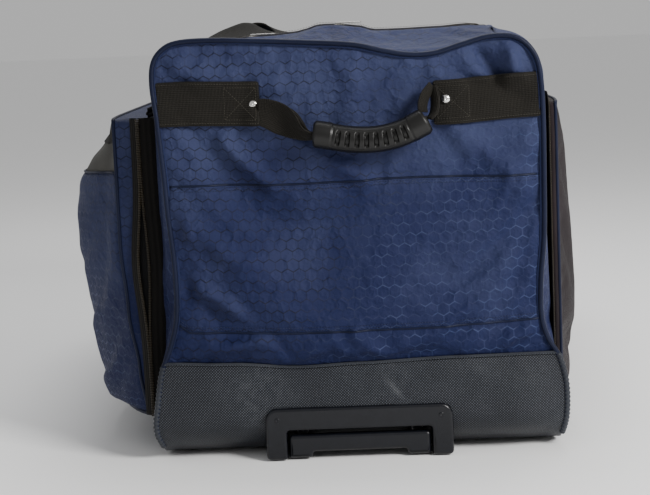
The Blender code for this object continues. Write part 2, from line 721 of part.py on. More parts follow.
# ---------------------------------------------------------------- carry loops
def carry_loops():
    arch_x, arch_z = HALF_W - CORNER_R, BODY_TOP - CORNER_R
    out = CORNER_R + 0.0034
    turn = math.radians
    around = {
        a: (arch_x + out * math.cos(turn(a)), arch_z + out * math.sin(turn(a)))
        for a in (10, 40, 58, 76)
    }
    anchor_y = 0.150

    left_half = [(-x, -anchor_y, z) for x, z in (around[40], around[58], around[76])]
    left_half += [
        (-0.158, -anchor_y, 0.4860),
        (-0.128, -0.149, 0.4950),
        (-0.102, -0.136, 0.4935),
        (-0.088, -0.105, 0.4850),
        (-0.084, -0.055, 0.4785),
    ]
    left_across = [(0, 1, 0)] * 5 + [(-0.4, 1, 0), (-1, 0.6, 0), (-1, 0.15, 0)]
    left_widths = [WEBBING_WIDTH] * 4 + [0.046, 0.040, 0.034, 0.030]
    carry_loop("left", left_half, (-0.083, 0.0, 0.4775), left_across, left_widths)

    right_half = [(x, -anchor_y, z) for x, z in (around[40], around[10])]
    right_half += [
        (HANG_X - 0.014, -anchor_y, 0.4230),
        (HANG_X, -0.147, 0.4000),
        (HANG_X + 0.0005, -0.136, 0.3600),
        (HANG_X + 0.001, -0.112, 0.3300),
        (HANG_X + 0.001, -0.070, 0.3150),
    ]
    right_across = [(0, 1, 0)] * 3 + [(0, 1, 0.1), (0, 1, 0.5), (0, 0.6, 1), (0, 0.15, 1)]
    right_widths = [WEBBING_WIDTH] * 3 + [0.046, 0.040, 0.034, 0.030]
    carry_loop("right", right_half, (HANG_X + 0.001, 0.0, 0.3120), right_across, right_widths)


def carry_loop(name, half, middle, across, widths):
    """A webbing loop, symmetric about y = 0, from its front anchor to its rear anchor."""
    side = LEFT if name == "left" else RIGHT
    body = make_body(f"{name}_carry", half[0][0], 0.0, half[0][2])
    mirrored = [(x, -y, z) for x, y, z in half[::-1]]
    per_span = 2
    path = smooth_path(half + [middle] + mirrored, per_span)
    across = across + [across[-1]] + [(x, -y, z) for x, y, z in across[::-1]]
    across = [Vector(a) for a in across]
    keep_facing = Vector(across[0])
    for a in across:
        if a.dot(keep_facing) < 0:
            a.negate()
        keep_facing = a
    widths = widths + [widths[-1]] + widths[::-1]
    spread, spans = [], []
    for i in range(len(across) - 1):
        spread += [across[i].lerp(across[i + 1], k / per_span) for k in range(per_span)]
        spans += [widths[i] + (widths[i + 1] - widths[i]) * k / per_span for k in range(per_span)]
    spread.append(across[-1])
    spans.append(widths[-1])
    band(f"{name}_carry_loop", WEBBING_BLACK, body, path, spread, spans, WEBBING)
    if name == "right":
        wrap_outline = rectangle(-0.055, 0.055, -0.021, 0.021, 0.006)
        wrap = place(outline_curve(wrap_outline, 0.0032), "carry_wrap", WEBBING_BLACK, body)
        wrap.rotation_euler = UPRIGHT_ALONG
        wrap.location += Vector((HANG_X + 0.001 + WEBBING / 2 + 0.0003 + 0.0016, 0.0, 0.3125))


# ---------------------------------------------------------------- telescopic pull handle
def pull_handle():
    outline = fillet(
        [
            (-HOUSING_HALF, 0.0, 0.004),
            (HOUSING_HALF, 0.0, 0.004),
            (HOUSING_HALF, HOUSING_TOP, 0.013),
            (-HOUSING_HALF, HOUSING_TOP, 0.013),
        ]
    )
    housing = mesh_of(
        plate("pull_housing", HOUSING_PLASTIC, ROOT, outline, HOUSING_FRONT_Y, HOUSING_BACK_Y, UPRIGHT_ACROSS)
    )
    boolean(housing, box_cutter((-RECESS_HALF, -0.5, -0.02), (RECESS_HALF, RECESS_BACK_Y, RECESS_TOP)))
    outer_r, mid_r, inner_r = 0.0080, 0.0066, 0.0052
    wall = 0.0010
    for side in (LEFT, RIGHT):
        centre = (side * TUBE_X, -0.40, TUBE_Z)
        boolean(housing, round_cutter(outer_r + HOLE_CLEARANCE, 0.05, centre, TURN_TO_Y))

    mid_body = make_body("pull_mid", 0.0, RECESS_BACK_Y, TUBE_Z)
    grip_body = make_body("pull_grip", 0.0, BAR_FRONT_Y, TUBE_Z)
    for side_name, side in (("left", LEFT), ("right", RIGHT)):
        x = side * TUBE_X
        pipe(f"mid_tube_{side_name}", TUBE_METAL, mid_body, mid_r, mid_r - wall, -0.4145, -0.0345, x, TUBE_Z)
        back = BAR_FRONT_Y + BAR_DEPTH + GAP
        inner_name = f"inner_tube_{side_name}"
        pipe(inner_name, TUBE_METAL, grip_body, inner_r, inner_r - wall, back, -0.0570, x, TUBE_Z)

    # The two outer tubes and the bracket that ties their far ends are one welded frame.
    clamp = mesh_of(
        plate(
            "outer_tube_frame",
            TUBE_METAL,
            ROOT,
            rectangle(-0.085, 0.085, 0.0137, 0.0318, 0.003),
            -0.030,
            -0.0125,
            UPRIGHT_ACROSS,
        )
    )
    for side in (LEFT, RIGHT):
        x = side * TUBE_X
        bore = outer_r - wall
        tube = pipe("outer_tube_cutter", TUBE_METAL, ROOT, outer_r, bore, -0.4115, -0.0105, x, TUBE_Z)
        boolean(clamp, round_cutter(outer_r - 0.0004, 0.05, (x, -0.02, TUBE_Z), TURN_TO_Y))
        tube = mesh_of(tube)
        tube.parent = None
        tube.rotation_euler = TURN_TO_Y
        boolean(clamp, hide_cutter(tube, (x, (-0.4115 - 0.0105) / 2, TUBE_Z)), "UNION")

    lump = 0.026
    bar_end = RECESS_HALF - 0.002
    low, foot, top = 0.009, 0.0015, 0.0285
    bar = fillet(
        [
            (-bar_end, foot, 0.002),
            (-bar_end + lump, foot, 0.002),
            (-bar_end + lump + 0.001, low, 0.002),
            (bar_end - lump - 0.001, low, 0.002),
            (bar_end - lump, foot, 0.002),
            (bar_end, foot, 0.002),
            (bar_end, top, 0.003),
            (-bar_end, top, 0.003),
        ],
        3,
    )
    bar_back_y = BAR_FRONT_Y + BAR_DEPTH
    plate("pull_grip_bar", HOUSING_PLASTIC, grip_body, bar, BAR_FRONT_Y, bar_back_y, UPRIGHT_ACROSS)


# ---------------------------------------------------------------- wheels
def wheels():
    hub_r, bearing_r = 0.0255, 0.0110
    half = WHEEL_WIDTH / 2
    for side_name, side in (("left", LEFT), ("right", RIGHT)):
        x0, x1 = sorted((side * CUP_IN, side * CUP_OUT))
        cup_outline = fillet(
            [
                (CUP_FRONT_Y, CUP_BOTTOM, 0.006),
                (CUP_REAR_Y, CUP_BOTTOM, 0.006),
                (CUP_REAR_Y, CUP_TOP, 0.014),
                (CUP_FRONT_Y, CUP_TOP, 0.006),
            ],
            4,
        )
        cup_name = f"wheel_cup_{side_name}"
        cup = mesh_of(plate(cup_name, HOUSING_PLASTIC, ROOT, cup_outline, x0, x1, UPRIGHT_ALONG))
        slot_half = half + 0.00275
        low = (side * WHEEL_X - slot_half, CUP_FRONT_Y + 0.015, -0.02)
        high = (side * WHEEL_X + slot_half, 0.50, CUP_TOP - 0.008)
        boolean(cup, box_cutter(low, high))
        axle_centre = (side * WHEEL_X, WHEEL_Y, WHEEL_R)
        boolean(cup, round_cutter(AXLE_R + HOLE_CLEARANCE, 0.12, axle_centre, TURN_TO_X))

        head, shank = 0.0062, CUP_OUT - CUP_IN - 0.002
        head_r = 0.0065
        axle = [(0, head / 2), (head_r, head / 2), (head_r, -head / 4)]
        axle += [(AXLE_R, -head / 4), (AXLE_R, -shank), (0, -shank)]
        turn = (0.0, math.radians(-90 * side), 0.0)
        turned(f"axle_{side_name}", STEEL, ROOT, axle, (side * (CUP_IN - 0.0022), WHEEL_Y, WHEEL_R), turn)

        body = make_body(f"wheel_{side_name}", side * WHEEL_X, WHEEL_Y, WHEEL_R)
        flank = 0.0085
        tyre = [
            (hub_r + HOLE_CLEARANCE, half),
            (WHEEL_R - 0.006, half),
            (WHEEL_R - 0.0015, flank),
            (WHEEL_R, flank - 0.005),
            (WHEEL_R, -flank + 0.005),
            (WHEEL_R - 0.0015, -flank),
            (WHEEL_R - 0.006, -half),
            (hub_r + HOLE_CLEARANCE, -half),
        ]
        turned(f"tyre_{side_name}", TYRE_RUBBER, body, tyre, axle_centre, TURN_TO_X, closed=True)
        seat = bearing_r + HOLE_CLEARANCE
        hub = [
            (seat, half - 0.0005),
            (seat + 0.004, half - 0.0005),
            (seat + 0.006, 0.004),
            (hub_r - 0.003, 0.004),
            (hub_r, half - 0.002),
            (hub_r, -half + 0.002),
            (hub_r - 0.003, -0.004),
            (seat + 0.006, -0.004),
            (seat + 0.004, -half + 0.0005),
            (seat, -half + 0.0005),
        ]
        turned(f"hub_{side_name}", HUB_PLASTIC, body, hub, axle_centre, TURN_TO_X, closed=True)
        race, spacer = 0.007, 0.0060
        bearings = [
            (bearing_r, half),
            (bearing_r, half - race),
            (spacer, half - race),
            (spacer, -half + race),
            (bearing_r, -half + race),
            (bearing_r, -half),
            (AXLE_R + HOLE_CLEARANCE, -half),
            (AXLE_R + HOLE_CLEARANCE, half),
        ]
        turned(f"bearings_{side_name}", STEEL, body, bearings, axle_centre, TURN_TO_X, closed=True)


base()
ends()
sides_and_top()
lid()
main_sliders()
straps_and_rivets()
end_handle("front", -1)
end_handle("rear", 1)
pockets()
carry_loops()
pull_handle()
wheels()
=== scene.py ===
"""Visual model of the wheeled hockey equipment bag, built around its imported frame."""

import json
import logging
import math
import random
from dataclasses import dataclass, field
from enum import Enum
from typing import Callable, Sequence

import bmesh
import bpy
from mathutils import Matrix, Vector, noise
from mathutils.bvhtree import BVHTree

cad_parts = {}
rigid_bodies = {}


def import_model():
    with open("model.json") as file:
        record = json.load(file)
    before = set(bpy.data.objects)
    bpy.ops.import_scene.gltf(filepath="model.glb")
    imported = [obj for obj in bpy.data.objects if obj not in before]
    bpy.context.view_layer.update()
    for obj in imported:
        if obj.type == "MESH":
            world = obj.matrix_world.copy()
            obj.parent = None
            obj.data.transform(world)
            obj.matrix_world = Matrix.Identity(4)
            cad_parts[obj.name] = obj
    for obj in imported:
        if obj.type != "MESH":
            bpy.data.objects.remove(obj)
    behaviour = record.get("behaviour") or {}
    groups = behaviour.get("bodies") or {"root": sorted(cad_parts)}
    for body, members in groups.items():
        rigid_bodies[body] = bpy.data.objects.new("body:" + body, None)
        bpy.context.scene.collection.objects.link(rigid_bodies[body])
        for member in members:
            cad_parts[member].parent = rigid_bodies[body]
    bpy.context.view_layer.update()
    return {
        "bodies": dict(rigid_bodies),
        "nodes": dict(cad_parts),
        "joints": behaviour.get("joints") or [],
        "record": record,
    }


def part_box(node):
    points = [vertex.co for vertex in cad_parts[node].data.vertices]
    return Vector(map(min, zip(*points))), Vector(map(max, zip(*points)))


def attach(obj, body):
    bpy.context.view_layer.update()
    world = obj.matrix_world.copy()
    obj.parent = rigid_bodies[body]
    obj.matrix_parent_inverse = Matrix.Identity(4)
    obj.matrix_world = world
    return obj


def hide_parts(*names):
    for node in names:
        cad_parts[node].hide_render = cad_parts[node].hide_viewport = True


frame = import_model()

STRAP_WIDTH = 0.05  # sewn end straps and carry webbing
WEBBING = 0.0022  # webbing thickness
STITCH = 0.003  # pitch of the webbing's stitches
LOG = logging.getLogger("equipment_bag")
Point = Sequence[float]
Grid = list[list[Vector]]
# The directions across the bag, along it to the rear, out of its front and up.
ACROSS, ALONG, FORWARD, UP = Vector((1, 0, 0)), Vector((0, 1, 0)), Vector((0, -1, 0)), Vector((0, 0, 1))


class Place(Enum):
    """Where on the bag a piece is; the value is the sign of its axis."""

    @property
    def label(self) -> str:
        """The place as the names of pieces say it."""
        return self.name.lower()


class Side(Place):
    """Which side of the bag a piece is on, seen from the pull-handle end."""

    LEFT = -1
    RIGHT = 1


class End(Place):
    """Which end of the bag a piece is on."""

    FRONT = -1
    REAR = 1


# ------------------------------------------------------------------ curves and surfaces
def spline(points: Sequence[Point], per_span: int = 8) -> list[Vector]:
    """Runs a smooth curve through some points.

    Args:
        points: The points to pass through.
        per_span: How many steps lie between two of them.

    Returns:
        The curve's points, the given ones among them.
    """
    knots = [Vector(p) for p in points]
    ends = [2 * knots[0] - knots[1], *knots, 2 * knots[-1] - knots[-2]]
    curve = []
    for i in range(1, len(ends) - 2):
        before, a, b, after = ends[i - 1 : i + 3]
        for k in range(per_span):
            t = k / per_span
            curve.append(
                0.5
                * (
                    2 * a
                    + (b - before) * t
                    + (2 * before - 5 * a + 4 * b - after) * t * t
                    + (3 * a - before - 3 * b + after) * t**3
                )
            )
    curve.append(knots[-1])
    return curve


def spaced(curve: Sequence[Vector], count: int) -> list[Vector]:
    """Returns count + 1 points at equal distances along a curve."""
    lengths = [0.0]
    for a, b in zip(curve, curve[1:]):
        lengths.append(lengths[-1] + (b - a).length)
    out, k = [], 0
    for i in range(count + 1):
        want = lengths[-1] * i / count
        while k < len(curve) - 2 and lengths[k + 1] < want:
            k += 1
        span = lengths[k + 1] - lengths[k]
        out.append(curve[k].lerp(curve[k + 1], (want - lengths[k]) / span if span else 0.0))
    return out


def curve_length(curve: Sequence[Vector]) -> float:
    """Returns a curve's length in metres."""
    return sum((b - a).length for a, b in zip(curve, curve[1:]))


def piecewise(knots: Sequence[tuple[float, float]], x: float) -> float:
    """Reads a smooth-stepped table of (x, value) knots at x."""
    if x <= knots[0][0]:
        return knots[0][1]
    for (x0, v0), (x1, v1) in zip(knots, knots[1:]):
        if x <= x1:
            t = (x - x0) / (x1 - x0)
            return v0 + (v1 - v0) * t * t * (3 - 2 * t)
    return knots[-1][1]


def coons(bottom: list[Vector], top: list[Vector], left: list[Vector], right: list[Vector]) -> Grid:
    """Fills the patch between four curves that share their corners.

    Args:
        bottom: From left to right.
        top: From left to right, with as many points as bottom.
        left: From bottom to top.
        right: From bottom to top, with as many points as left.

    Returns:
        Rows of points from bottom to top.
    """
    rows, cols = len(left) - 1, len(bottom) - 1

    def point(j: int, i: int) -> Vector:
        u, v = i / cols, j / rows
        ruled = bottom[i].lerp(top[i], v) + left[j].lerp(right[j], u)
        return ruled - bottom[0].lerp(bottom[-1], u).lerp(top[0].lerp(top[-1], u), v)

    return lay(rows, cols, point)


def mesh_piece(
    name: str, verts: Sequence[Point], faces: Sequence[Sequence[int]], smooth: bool = True
) -> bpy.types.Object:
    """Makes an object from points and faces and links it to the scene."""
    mesh = bpy.data.meshes.new(name)
    mesh.from_pydata([tuple(v) for v in verts], [], faces)
    mesh.polygons.foreach_set("use_smooth", [smooth] * len(mesh.polygons))
    mesh.update()
    obj = bpy.data.objects.new(name, mesh)
    bpy.context.scene.collection.objects.link(obj)
    return obj


def grid_piece(
    name: str, grid: Grid, uv: Callable[[int, int], tuple[float, float]] | None = None, flip: bool = False
) -> bpy.types.Object:
    """Makes a cloth sheet from rows of points, with its UV map in metres.

    Args:
        name: The new object's name.
        grid: Rows of points.
        uv: Gives a point's place on the flat cloth from its row and column; arc lengths if left out.
        flip: Turns the sheet's faces over.

    Returns:
        The sheet, whose vertices are in row order.
    """
    rows, cols = len(grid), len(grid[0])
    faces = []
    for j in range(rows - 1):
        for i in range(cols - 1):
            a = j * cols + i
            quad = (a, a + 1, a + cols + 1, a + cols)
            faces.append(quad[::-1] if flip else quad)
    obj = mesh_piece(name, [p for row in grid for p in row], faces)
    if uv is None:
        middle_row, middle_col = grid[rows // 2], [row[cols // 2] for row in grid]
        along, up = [0.0], [0.0]
        for a, b in zip(middle_row, middle_row[1:]):
            along.append(along[-1] + (b - a).length)
        for a, b in zip(middle_col, middle_col[1:]):
            up.append(up[-1] + (b - a).length)

        def uv(j: int, i: int) -> tuple[float, float]:
            return along[i], up[j]

    layer = obj.data.uv_layers.new(name="Cloth")
    for loop in obj.data.loops:
        layer.data[loop.index].uv = uv(loop.vertex_index // cols, loop.vertex_index % cols)
    return obj


def cut_faces(obj: bpy.types.Object, test: Callable[[bmesh.types.BMFace], bool]) -> None:
    """Cuts away the faces of a piece that pass a test."""
    work = bmesh.new()
    work.from_mesh(obj.data)
    bmesh.ops.delete(work, geom=[face for face in work.faces if test(face)], context="FACES")
    work.to_mesh(obj.data)
    work.free()


def lay(rows: int, cols: int, point: Callable[[int, int], Vector]) -> Grid:
    """Returns rows + 1 rows of cols + 1 points, from a rule for row j and column i."""
    return [[point(j, i) for i in range(cols + 1)] for j in range(rows + 1)]


def border(grid_rows: int, grid_cols: int) -> list[int]:
    """Returns the vertex numbers round the edge of a grid piece."""
    return [
        j * grid_cols + i
        for j in range(grid_rows)
        for i in range(grid_cols) if j in (0, grid_rows - 1) or i in (0, grid_cols - 1)
    ]


def hump(away: float, width: float) -> float:
    """Returns a bell-shaped fall-off, 1 where away is 0."""
    return math.exp(-((away / width) ** 2))


def lumps(p: Vector, scale: float, seed: float) -> float:
    """Returns smooth noise of about -1 to 1 at a point, with features of the given size."""
    return noise.noise(Vector((p.x / scale + seed, p.y / scale - seed, p.z / scale + 0.37 * seed)))


def creases(p: Vector, size: float, seed: float) -> float:
    """Returns sharp, branching ridges of 0 to 1, as crumpled cloth keeps."""
    turned = Vector((0.5 * (p.x + p.y) + 0.35 * p.z, 0.4 * (p.x + p.y), 1.1 * p.z - 0.7 * (p.x + p.y)))
    ridge = 1 - 2.6 * abs(lumps(turned, size, seed))
    return max(0.0, ridge) ** 2.5 * max(0.0, min(1.0, 0.5 + 1.4 * lumps(p, 2.2 * size, seed + 3)))


@dataclass
class ClothSettler:
    """Lets a sewn cloth panel go slack between its seams, by simulation."""

    frames: int = 16
    spare: float = 0.012
    pressure: float = 0.35
    gravity: float = 0.3
    bending: float = 0.6
    most: float = 0.016

    def settle(self, obj: bpy.types.Object, held: Sequence[int]) -> None:
        """Simulates one panel and keeps the result as its mesh.

        Args:
            obj: The panel.
            held: The vertices that its seams hold.
        """
        scene = bpy.context.scene
        start = [v.co.copy() for v in obj.data.vertices]
        group = obj.vertex_groups.new(name="seams")
        group.add(list(held), 1.0, "REPLACE")
        cloth = obj.modifiers.new("cloth", "CLOTH")
        what = cloth.settings
        what.quality = 6
        what.mass = 0.15
        what.tension_stiffness = what.compression_stiffness = 12
        what.shear_stiffness = 4
        what.bending_stiffness = self.bending
        what.vertex_group_mass = group.name
        what.pin_stiffness = 1
        what.shrink_min = -self.spare
        what.use_pressure = self.pressure != 0
        what.uniform_pressure_force = self.pressure
        what.effector_weights.gravity = self.gravity
        cloth.collision_settings.use_collision = False
        cloth.collision_settings.use_self_collision = False
        cloth.point_cache.frame_start, cloth.point_cache.frame_end = 1, self.frames
        for number in range(1, self.frames + 1):
            scene.frame_set(number)
        graph = bpy.context.evaluated_depsgraph_get()
        settled = [v.co.copy() for v in obj.evaluated_get(graph).data.vertices]
        obj.modifiers.remove(cloth)
        obj.vertex_groups.remove(group)
        for vert, a, b in zip(obj.data.vertices, start, settled):
            move = b - a
            if move.length > self.most:
                move *= self.most / move.length
            vert.co = a + move
        obj.data.update()
        scene.frame_set(1)


def thicken(obj: bpy.types.Object, thickness: float, subdivide: int = 1, offset: float = -1.0) -> None:
    """Smooths a sheet and gives it a thickness, for good."""
    if subdivide:
        smooth = obj.modifiers.new("smooth", "SUBSURF")
        smooth.levels = smooth.render_levels = subdivide
    wall = obj.modifiers.new("cloth thickness", "SOLIDIFY")
    wall.thickness = thickness
    wall.offset = offset


class Surface:
    """A settled cloth surface that other pieces are laid on."""

    def __init__(self, *objects: bpy.types.Object) -> None:
        """Reads the surfaces of some pieces, as they are shown."""
        verts, faces = [], []
        graph = bpy.context.evaluated_depsgraph_get()
        for obj in objects:
            mesh = obj.evaluated_get(graph).data
            base = len(verts)
            verts += [v.co.copy() for v in mesh.vertices]
            faces += [[base + i for i in p.vertices] for p in mesh.polygons]
        self.tree = BVHTree.FromPolygons(verts, faces)

    def drop(self, point: Vector, way: Vector, lift: float) -> Vector:
        """Moves a point along a direction until it meets the surface.

        Args:
            point: Where it starts, clear of the surface.
            way: The direction it goes.
            lift: How far it stays off the surface.

        Returns:
            The place it comes to, or the point itself where it meets nothing.
        """
        hit, _, _, _ = self.tree.ray_cast(point, way)
        return point if hit is None else hit - way * lift

    def front(self, x: float, z: float, lift: float, facing: int = -1) -> Vector:
        """Lays a point on an end of the bag."""
        return self.drop(Vector((x, facing * 0.7, z)), Vector((0, -facing, 0)), lift)


def tube(
    name: str, path: Sequence[Vector], radius: float, sides: int = 8, closed: bool = False, ribs: float = 0.0
) -> bpy.types.Object:
    """Makes a round cord or welt along a path, with every other point thicker where it is ribbed."""
    verts, faces = [], []
    normal = Vector((0, 0, 1))
    count = len(path)
    for i, point in enumerate(path):
        ahead = path[(i + 1) % count] if closed else path[min(i + 1, count - 1)]
        behind = path[i - 1] if closed else path[max(i - 1, 0)]
        tangent = (ahead - behind).normalized()
        if abs(tangent.dot(normal)) > 0.95:
            normal = tangent.orthogonal()
        normal = (normal - tangent * normal.dot(tangent)).normalized()
        other = tangent.cross(normal)
        for k in range(sides):
            a = 2 * math.pi * k / sides
            verts.append(point + (normal * math.cos(a) + other * math.sin(a)) * (radius + ribs * (i // 2 % 2)))
    for i in range(count if closed else count - 1):
        for k in range(sides):
            a, b = i * sides, ((i + 1) % count) * sides
            faces.append((a + k, a + (k + 1) % sides, b + (k + 1) % sides, b + k))
    if not closed:
        faces += [tuple(range(sides))[::-1], tuple(range((count - 1) * sides, count * sides))]
    return mesh_piece(name, verts, faces)


def ribbon(
    name: str,
    path: Sequence[Vector],
    across: Sequence[Vector],
    widths: Sequence[float],
    thickness: float,
    cols: int = 6,
    cup: float = 0.0,
) -> bpy.types.Object:
    """Makes a webbing strap along a path, with its UV map in metres.

    Args:
        name: The new object's name.
        path: The strap's middle line.
        across: The direction across the strap at each point of the path.
        widths: The strap's width at each point of the path.
        thickness: The webbing's thickness.
        cols: How many faces lie across it.
        cup: How far its edges curl, as a share of the width.

    Returns:
        The strap.
    """
    grid, run = [], [0.0]
    for i, point in enumerate(path):
        tangent = (path[min(i + 1, len(path) - 1)] - path[max(i - 1, 0)]).normalized()
        side = (across[i] - tangent * across[i].dot(tangent)).normalized()
        up = tangent.cross(side)
        row = []
        for k in range(cols + 1):
            t = k / cols - 0.5
            row.append(point + side * (widths[i] * t) + up * (cup * widths[i] * (4 * t * t - 0.4)))
        grid.append(row)
        if i:
            run.append(run[-1] + (point - path[i - 1]).length)
    widest = max(widths)
    obj = grid_piece(name, grid, lambda j, i: (widest * (i / cols - 0.5), run[j]))
    thicken(obj, thickness, 0, 0.0)
    return obj


class ThreadWork:
    """Gathers stitches, each a small bent bar of thread, into one piece."""

    def __init__(self, name: str, thickness: float = 0.0008) -> None:
        """Starts an empty line of sewing."""
        self.name, self.thickness = name, thickness
        self.verts: list[Vector] = []
        self.faces: list[tuple[int, ...]] = []

    def stitch(self, a: Vector, b: Vector, out: Vector) -> None:
        """Adds one stitch from a to b, standing proud along out."""
        along = (b - a).normalized()
        side = along.cross(out).normalized() * (self.thickness * 0.5)
        up = out.normalized() * (self.thickness * 0.55)
        base = len(self.verts)
        for point, size in ((a, 0.35), (a.lerp(b, 0.25), 1.0), (a.lerp(b, 0.75), 1.0), (b, 0.35)):
            self.verts += [point - side * size, point + up * size, point + side * size]
        for j in range(3):
            for k in range(3):
                p, q = base + 3 * j + k, base + 3 * j + (k + 1) % 3
                self.faces.append((p, q, q + 3, p + 3))
        self.faces += [(base, base + 2, base + 1), (base + 9, base + 10, base + 11)]

    def run(self, path: Sequence[Vector], out: Vector, pitch: float = 0.0034) -> None:
        """Sews along a path that already lies on its cloth."""
        count = max(2, round(curve_length(path) / pitch))
        points = spaced(list(path), count)
        for a, b in zip(points, points[1:]):
            self.stitch(a, a.lerp(b, 0.72), out)

    def finish(self) -> bpy.types.Object:
        """Returns all the stitches as one piece."""
        return mesh_piece(self.name, self.verts, self.faces)


def zip_teeth(
    name: str, path: Sequence[Vector], out: Sequence[Vector], pitch: float = 0.0019, width: float = 0.0052
) -> bpy.types.Object:
    """Makes a zip's coil: a row of rounded teeth across a path.

    Args:
        name: The new object's name.
        path: The line the coil follows.
        out: The direction away from the tape, at each point of the path.
        pitch: The distance between two teeth.
        width: The coil's width.

    Returns:
        The coil.
    """
    verts, faces = [], []
    count = round(curve_length(path) / pitch)
    points, ways = spaced(list(path), count), spaced_like(path, out, count)
    for i in range(count):
        along = (points[i + 1] - points[i]).normalized()
        up = ways[i].normalized()
        side = along.cross(up).normalized()
        base = len(verts)
        for reach, half, high in ((-0.5, 0.26, 0.05), (-0.3, 0.32, 0.34), (0.3, 0.32, 0.34), (0.5, 0.26, 0.05)):
            centre = points[i] + side * (reach * width) + up * (high * width)
            verts += [
                centre - along * (half * pitch), centre + up * (0.1 * width), centre + along * (half * pitch)
            ]
        for j in range(3):
            for k in range(3):
                p, q = base + 3 * j + k, base + 3 * j + (k + 1) % 3
                faces.append((p, q, q + 3, p + 3))
        faces += [(base, base + 2, base + 1), (base + 9, base + 10, base + 11)]
    return mesh_piece(name, verts, faces)


def spaced_like(path: Sequence[Vector], values: Sequence[Vector], count: int) -> list[Vector]:
    """Returns the values given along a path, at count + 1 equal distances."""
    lengths = [0.0]
    for a, b in zip(path, path[1:]):
        lengths.append(lengths[-1] + (b - a).length)
    out, k = [], 0
    for i in range(count + 1):
        want = lengths[-1] * i / count
        while k < len(path) - 2 and lengths[k + 1] < want:
            k += 1
        span = lengths[k + 1] - lengths[k]
        out.append(values[k].lerp(values[k + 1], (want - lengths[k]) / span if span else 0.0))
    return out


def rounded_plate(
    name: str, outline: Sequence[tuple[float, float]], y0: float, y1: float, bevel: float, x0: float
) -> bpy.types.Object:
    """Makes a moulded plate from an upright outline, with rounded edges.

    Args:
        name: The new object's name.
        outline: Its (x, z) corners, x measured from x0.
        y0: Its front face.
        y1: Its back face.
        bevel: The rounding of its edges.
        x0: Where its outline's x is measured from.

    Returns:
        The plate.
    """
    curve = bpy.data.curves.new(name, "CURVE")
    curve.dimensions, curve.fill_mode = "2D", "BOTH"
    curve.extrude = abs(y1 - y0) / 2 - bevel
    curve.bevel_depth, curve.bevel_resolution, curve.offset = bevel, 3, -bevel
    line = curve.splines.new("POLY")
    line.points.add(len(outline) - 1)
    for point, (x, z) in zip(line.points, outline):
        point.co = (x, z, 0.0, 1.0)
    line.use_cyclic_u = True
    obj = bpy.data.objects.new(name, curve)
    bpy.context.scene.collection.objects.link(obj)
    obj.rotation_euler = (math.pi / 2, 0.0, 0.0)
    obj.location = (x0, (y0 + y1) / 2, 0.0)
    return to_mesh(obj)


def to_mesh(obj: bpy.types.Object) -> bpy.types.Object:
    """Turns a piece into a plain mesh, with its place in its vertices."""
    bpy.context.view_layer.update()
    graph = bpy.context.evaluated_depsgraph_get()
    mesh = bpy.data.meshes.new_from_object(obj.evaluated_get(graph))
    mesh.transform(obj.matrix_world)
    name = obj.name
    bpy.data.objects.remove(obj, do_unlink=True)
    weld = bmesh.new()
    weld.from_mesh(mesh)
    bmesh.ops.remove_doubles(weld, verts=weld.verts, dist=1e-5)
    bmesh.ops.recalc_face_normals(weld, faces=weld.faces)
    weld.to_mesh(mesh)
    weld.free()
    made = bpy.data.objects.new(name, mesh)
    bpy.context.scene.collection.objects.link(made)
    return made


def fillet(corners: Sequence[tuple[float, float, float]], steps: int = 6) -> list[tuple[float, float]]:
    """Returns the outline through (x, z, radius) corners, each rounded by its own radius."""
    outline = []
    for i, (x, z, radius) in enumerate(corners):
        here = Vector((x, z))
        if radius <= 0:
            outline.append((x, z))
            continue
        back = (Vector(corners[i - 1][:2]) - here).normalized()
        ahead = (Vector(corners[(i + 1) % len(corners)][:2]) - here).normalized()
        half = back.angle(ahead) / 2
        centre = here + (back + ahead).normalized() * (radius / math.sin(half))
        first = here + back * (radius / math.tan(half)) - centre
        sweep = first.angle_signed(here + ahead * (radius / math.tan(half)) - centre)
        for k in range(steps + 1):
            a = -sweep * k / steps
            outline.append(
                (
                    centre.x + first.x * math.cos(a) - first.y * math.sin(a),
                    centre.y + first.x * math.sin(a) + first.y * math.cos(a),
                )
            )
    return outline


def lathe(
    name: str, profile: Sequence[tuple[float, float]], centre: Vector, axis: Vector, steps: int = 48
) -> bpy.types.Object:
    """Turns a closed (radius, distance along the axis) profile about an axis."""
    axis = axis.normalized()
    u = axis.orthogonal().normalized()
    v = axis.cross(u)
    count = len(profile)
    verts, faces = [], []
    for k in range(steps):
        a = 2 * math.pi * k / steps
        way = u * math.cos(a) + v * math.sin(a)
        verts += [centre + way * r + axis * h for r, h in profile]
    for k in range(steps):
        for i in range(count):
            a, b = k * count, ((k + 1) % steps) * count
            faces.append((a + i, a + (i + 1) % count, b + (i + 1) % count, b + i))
    return mesh_piece(name, verts, faces)


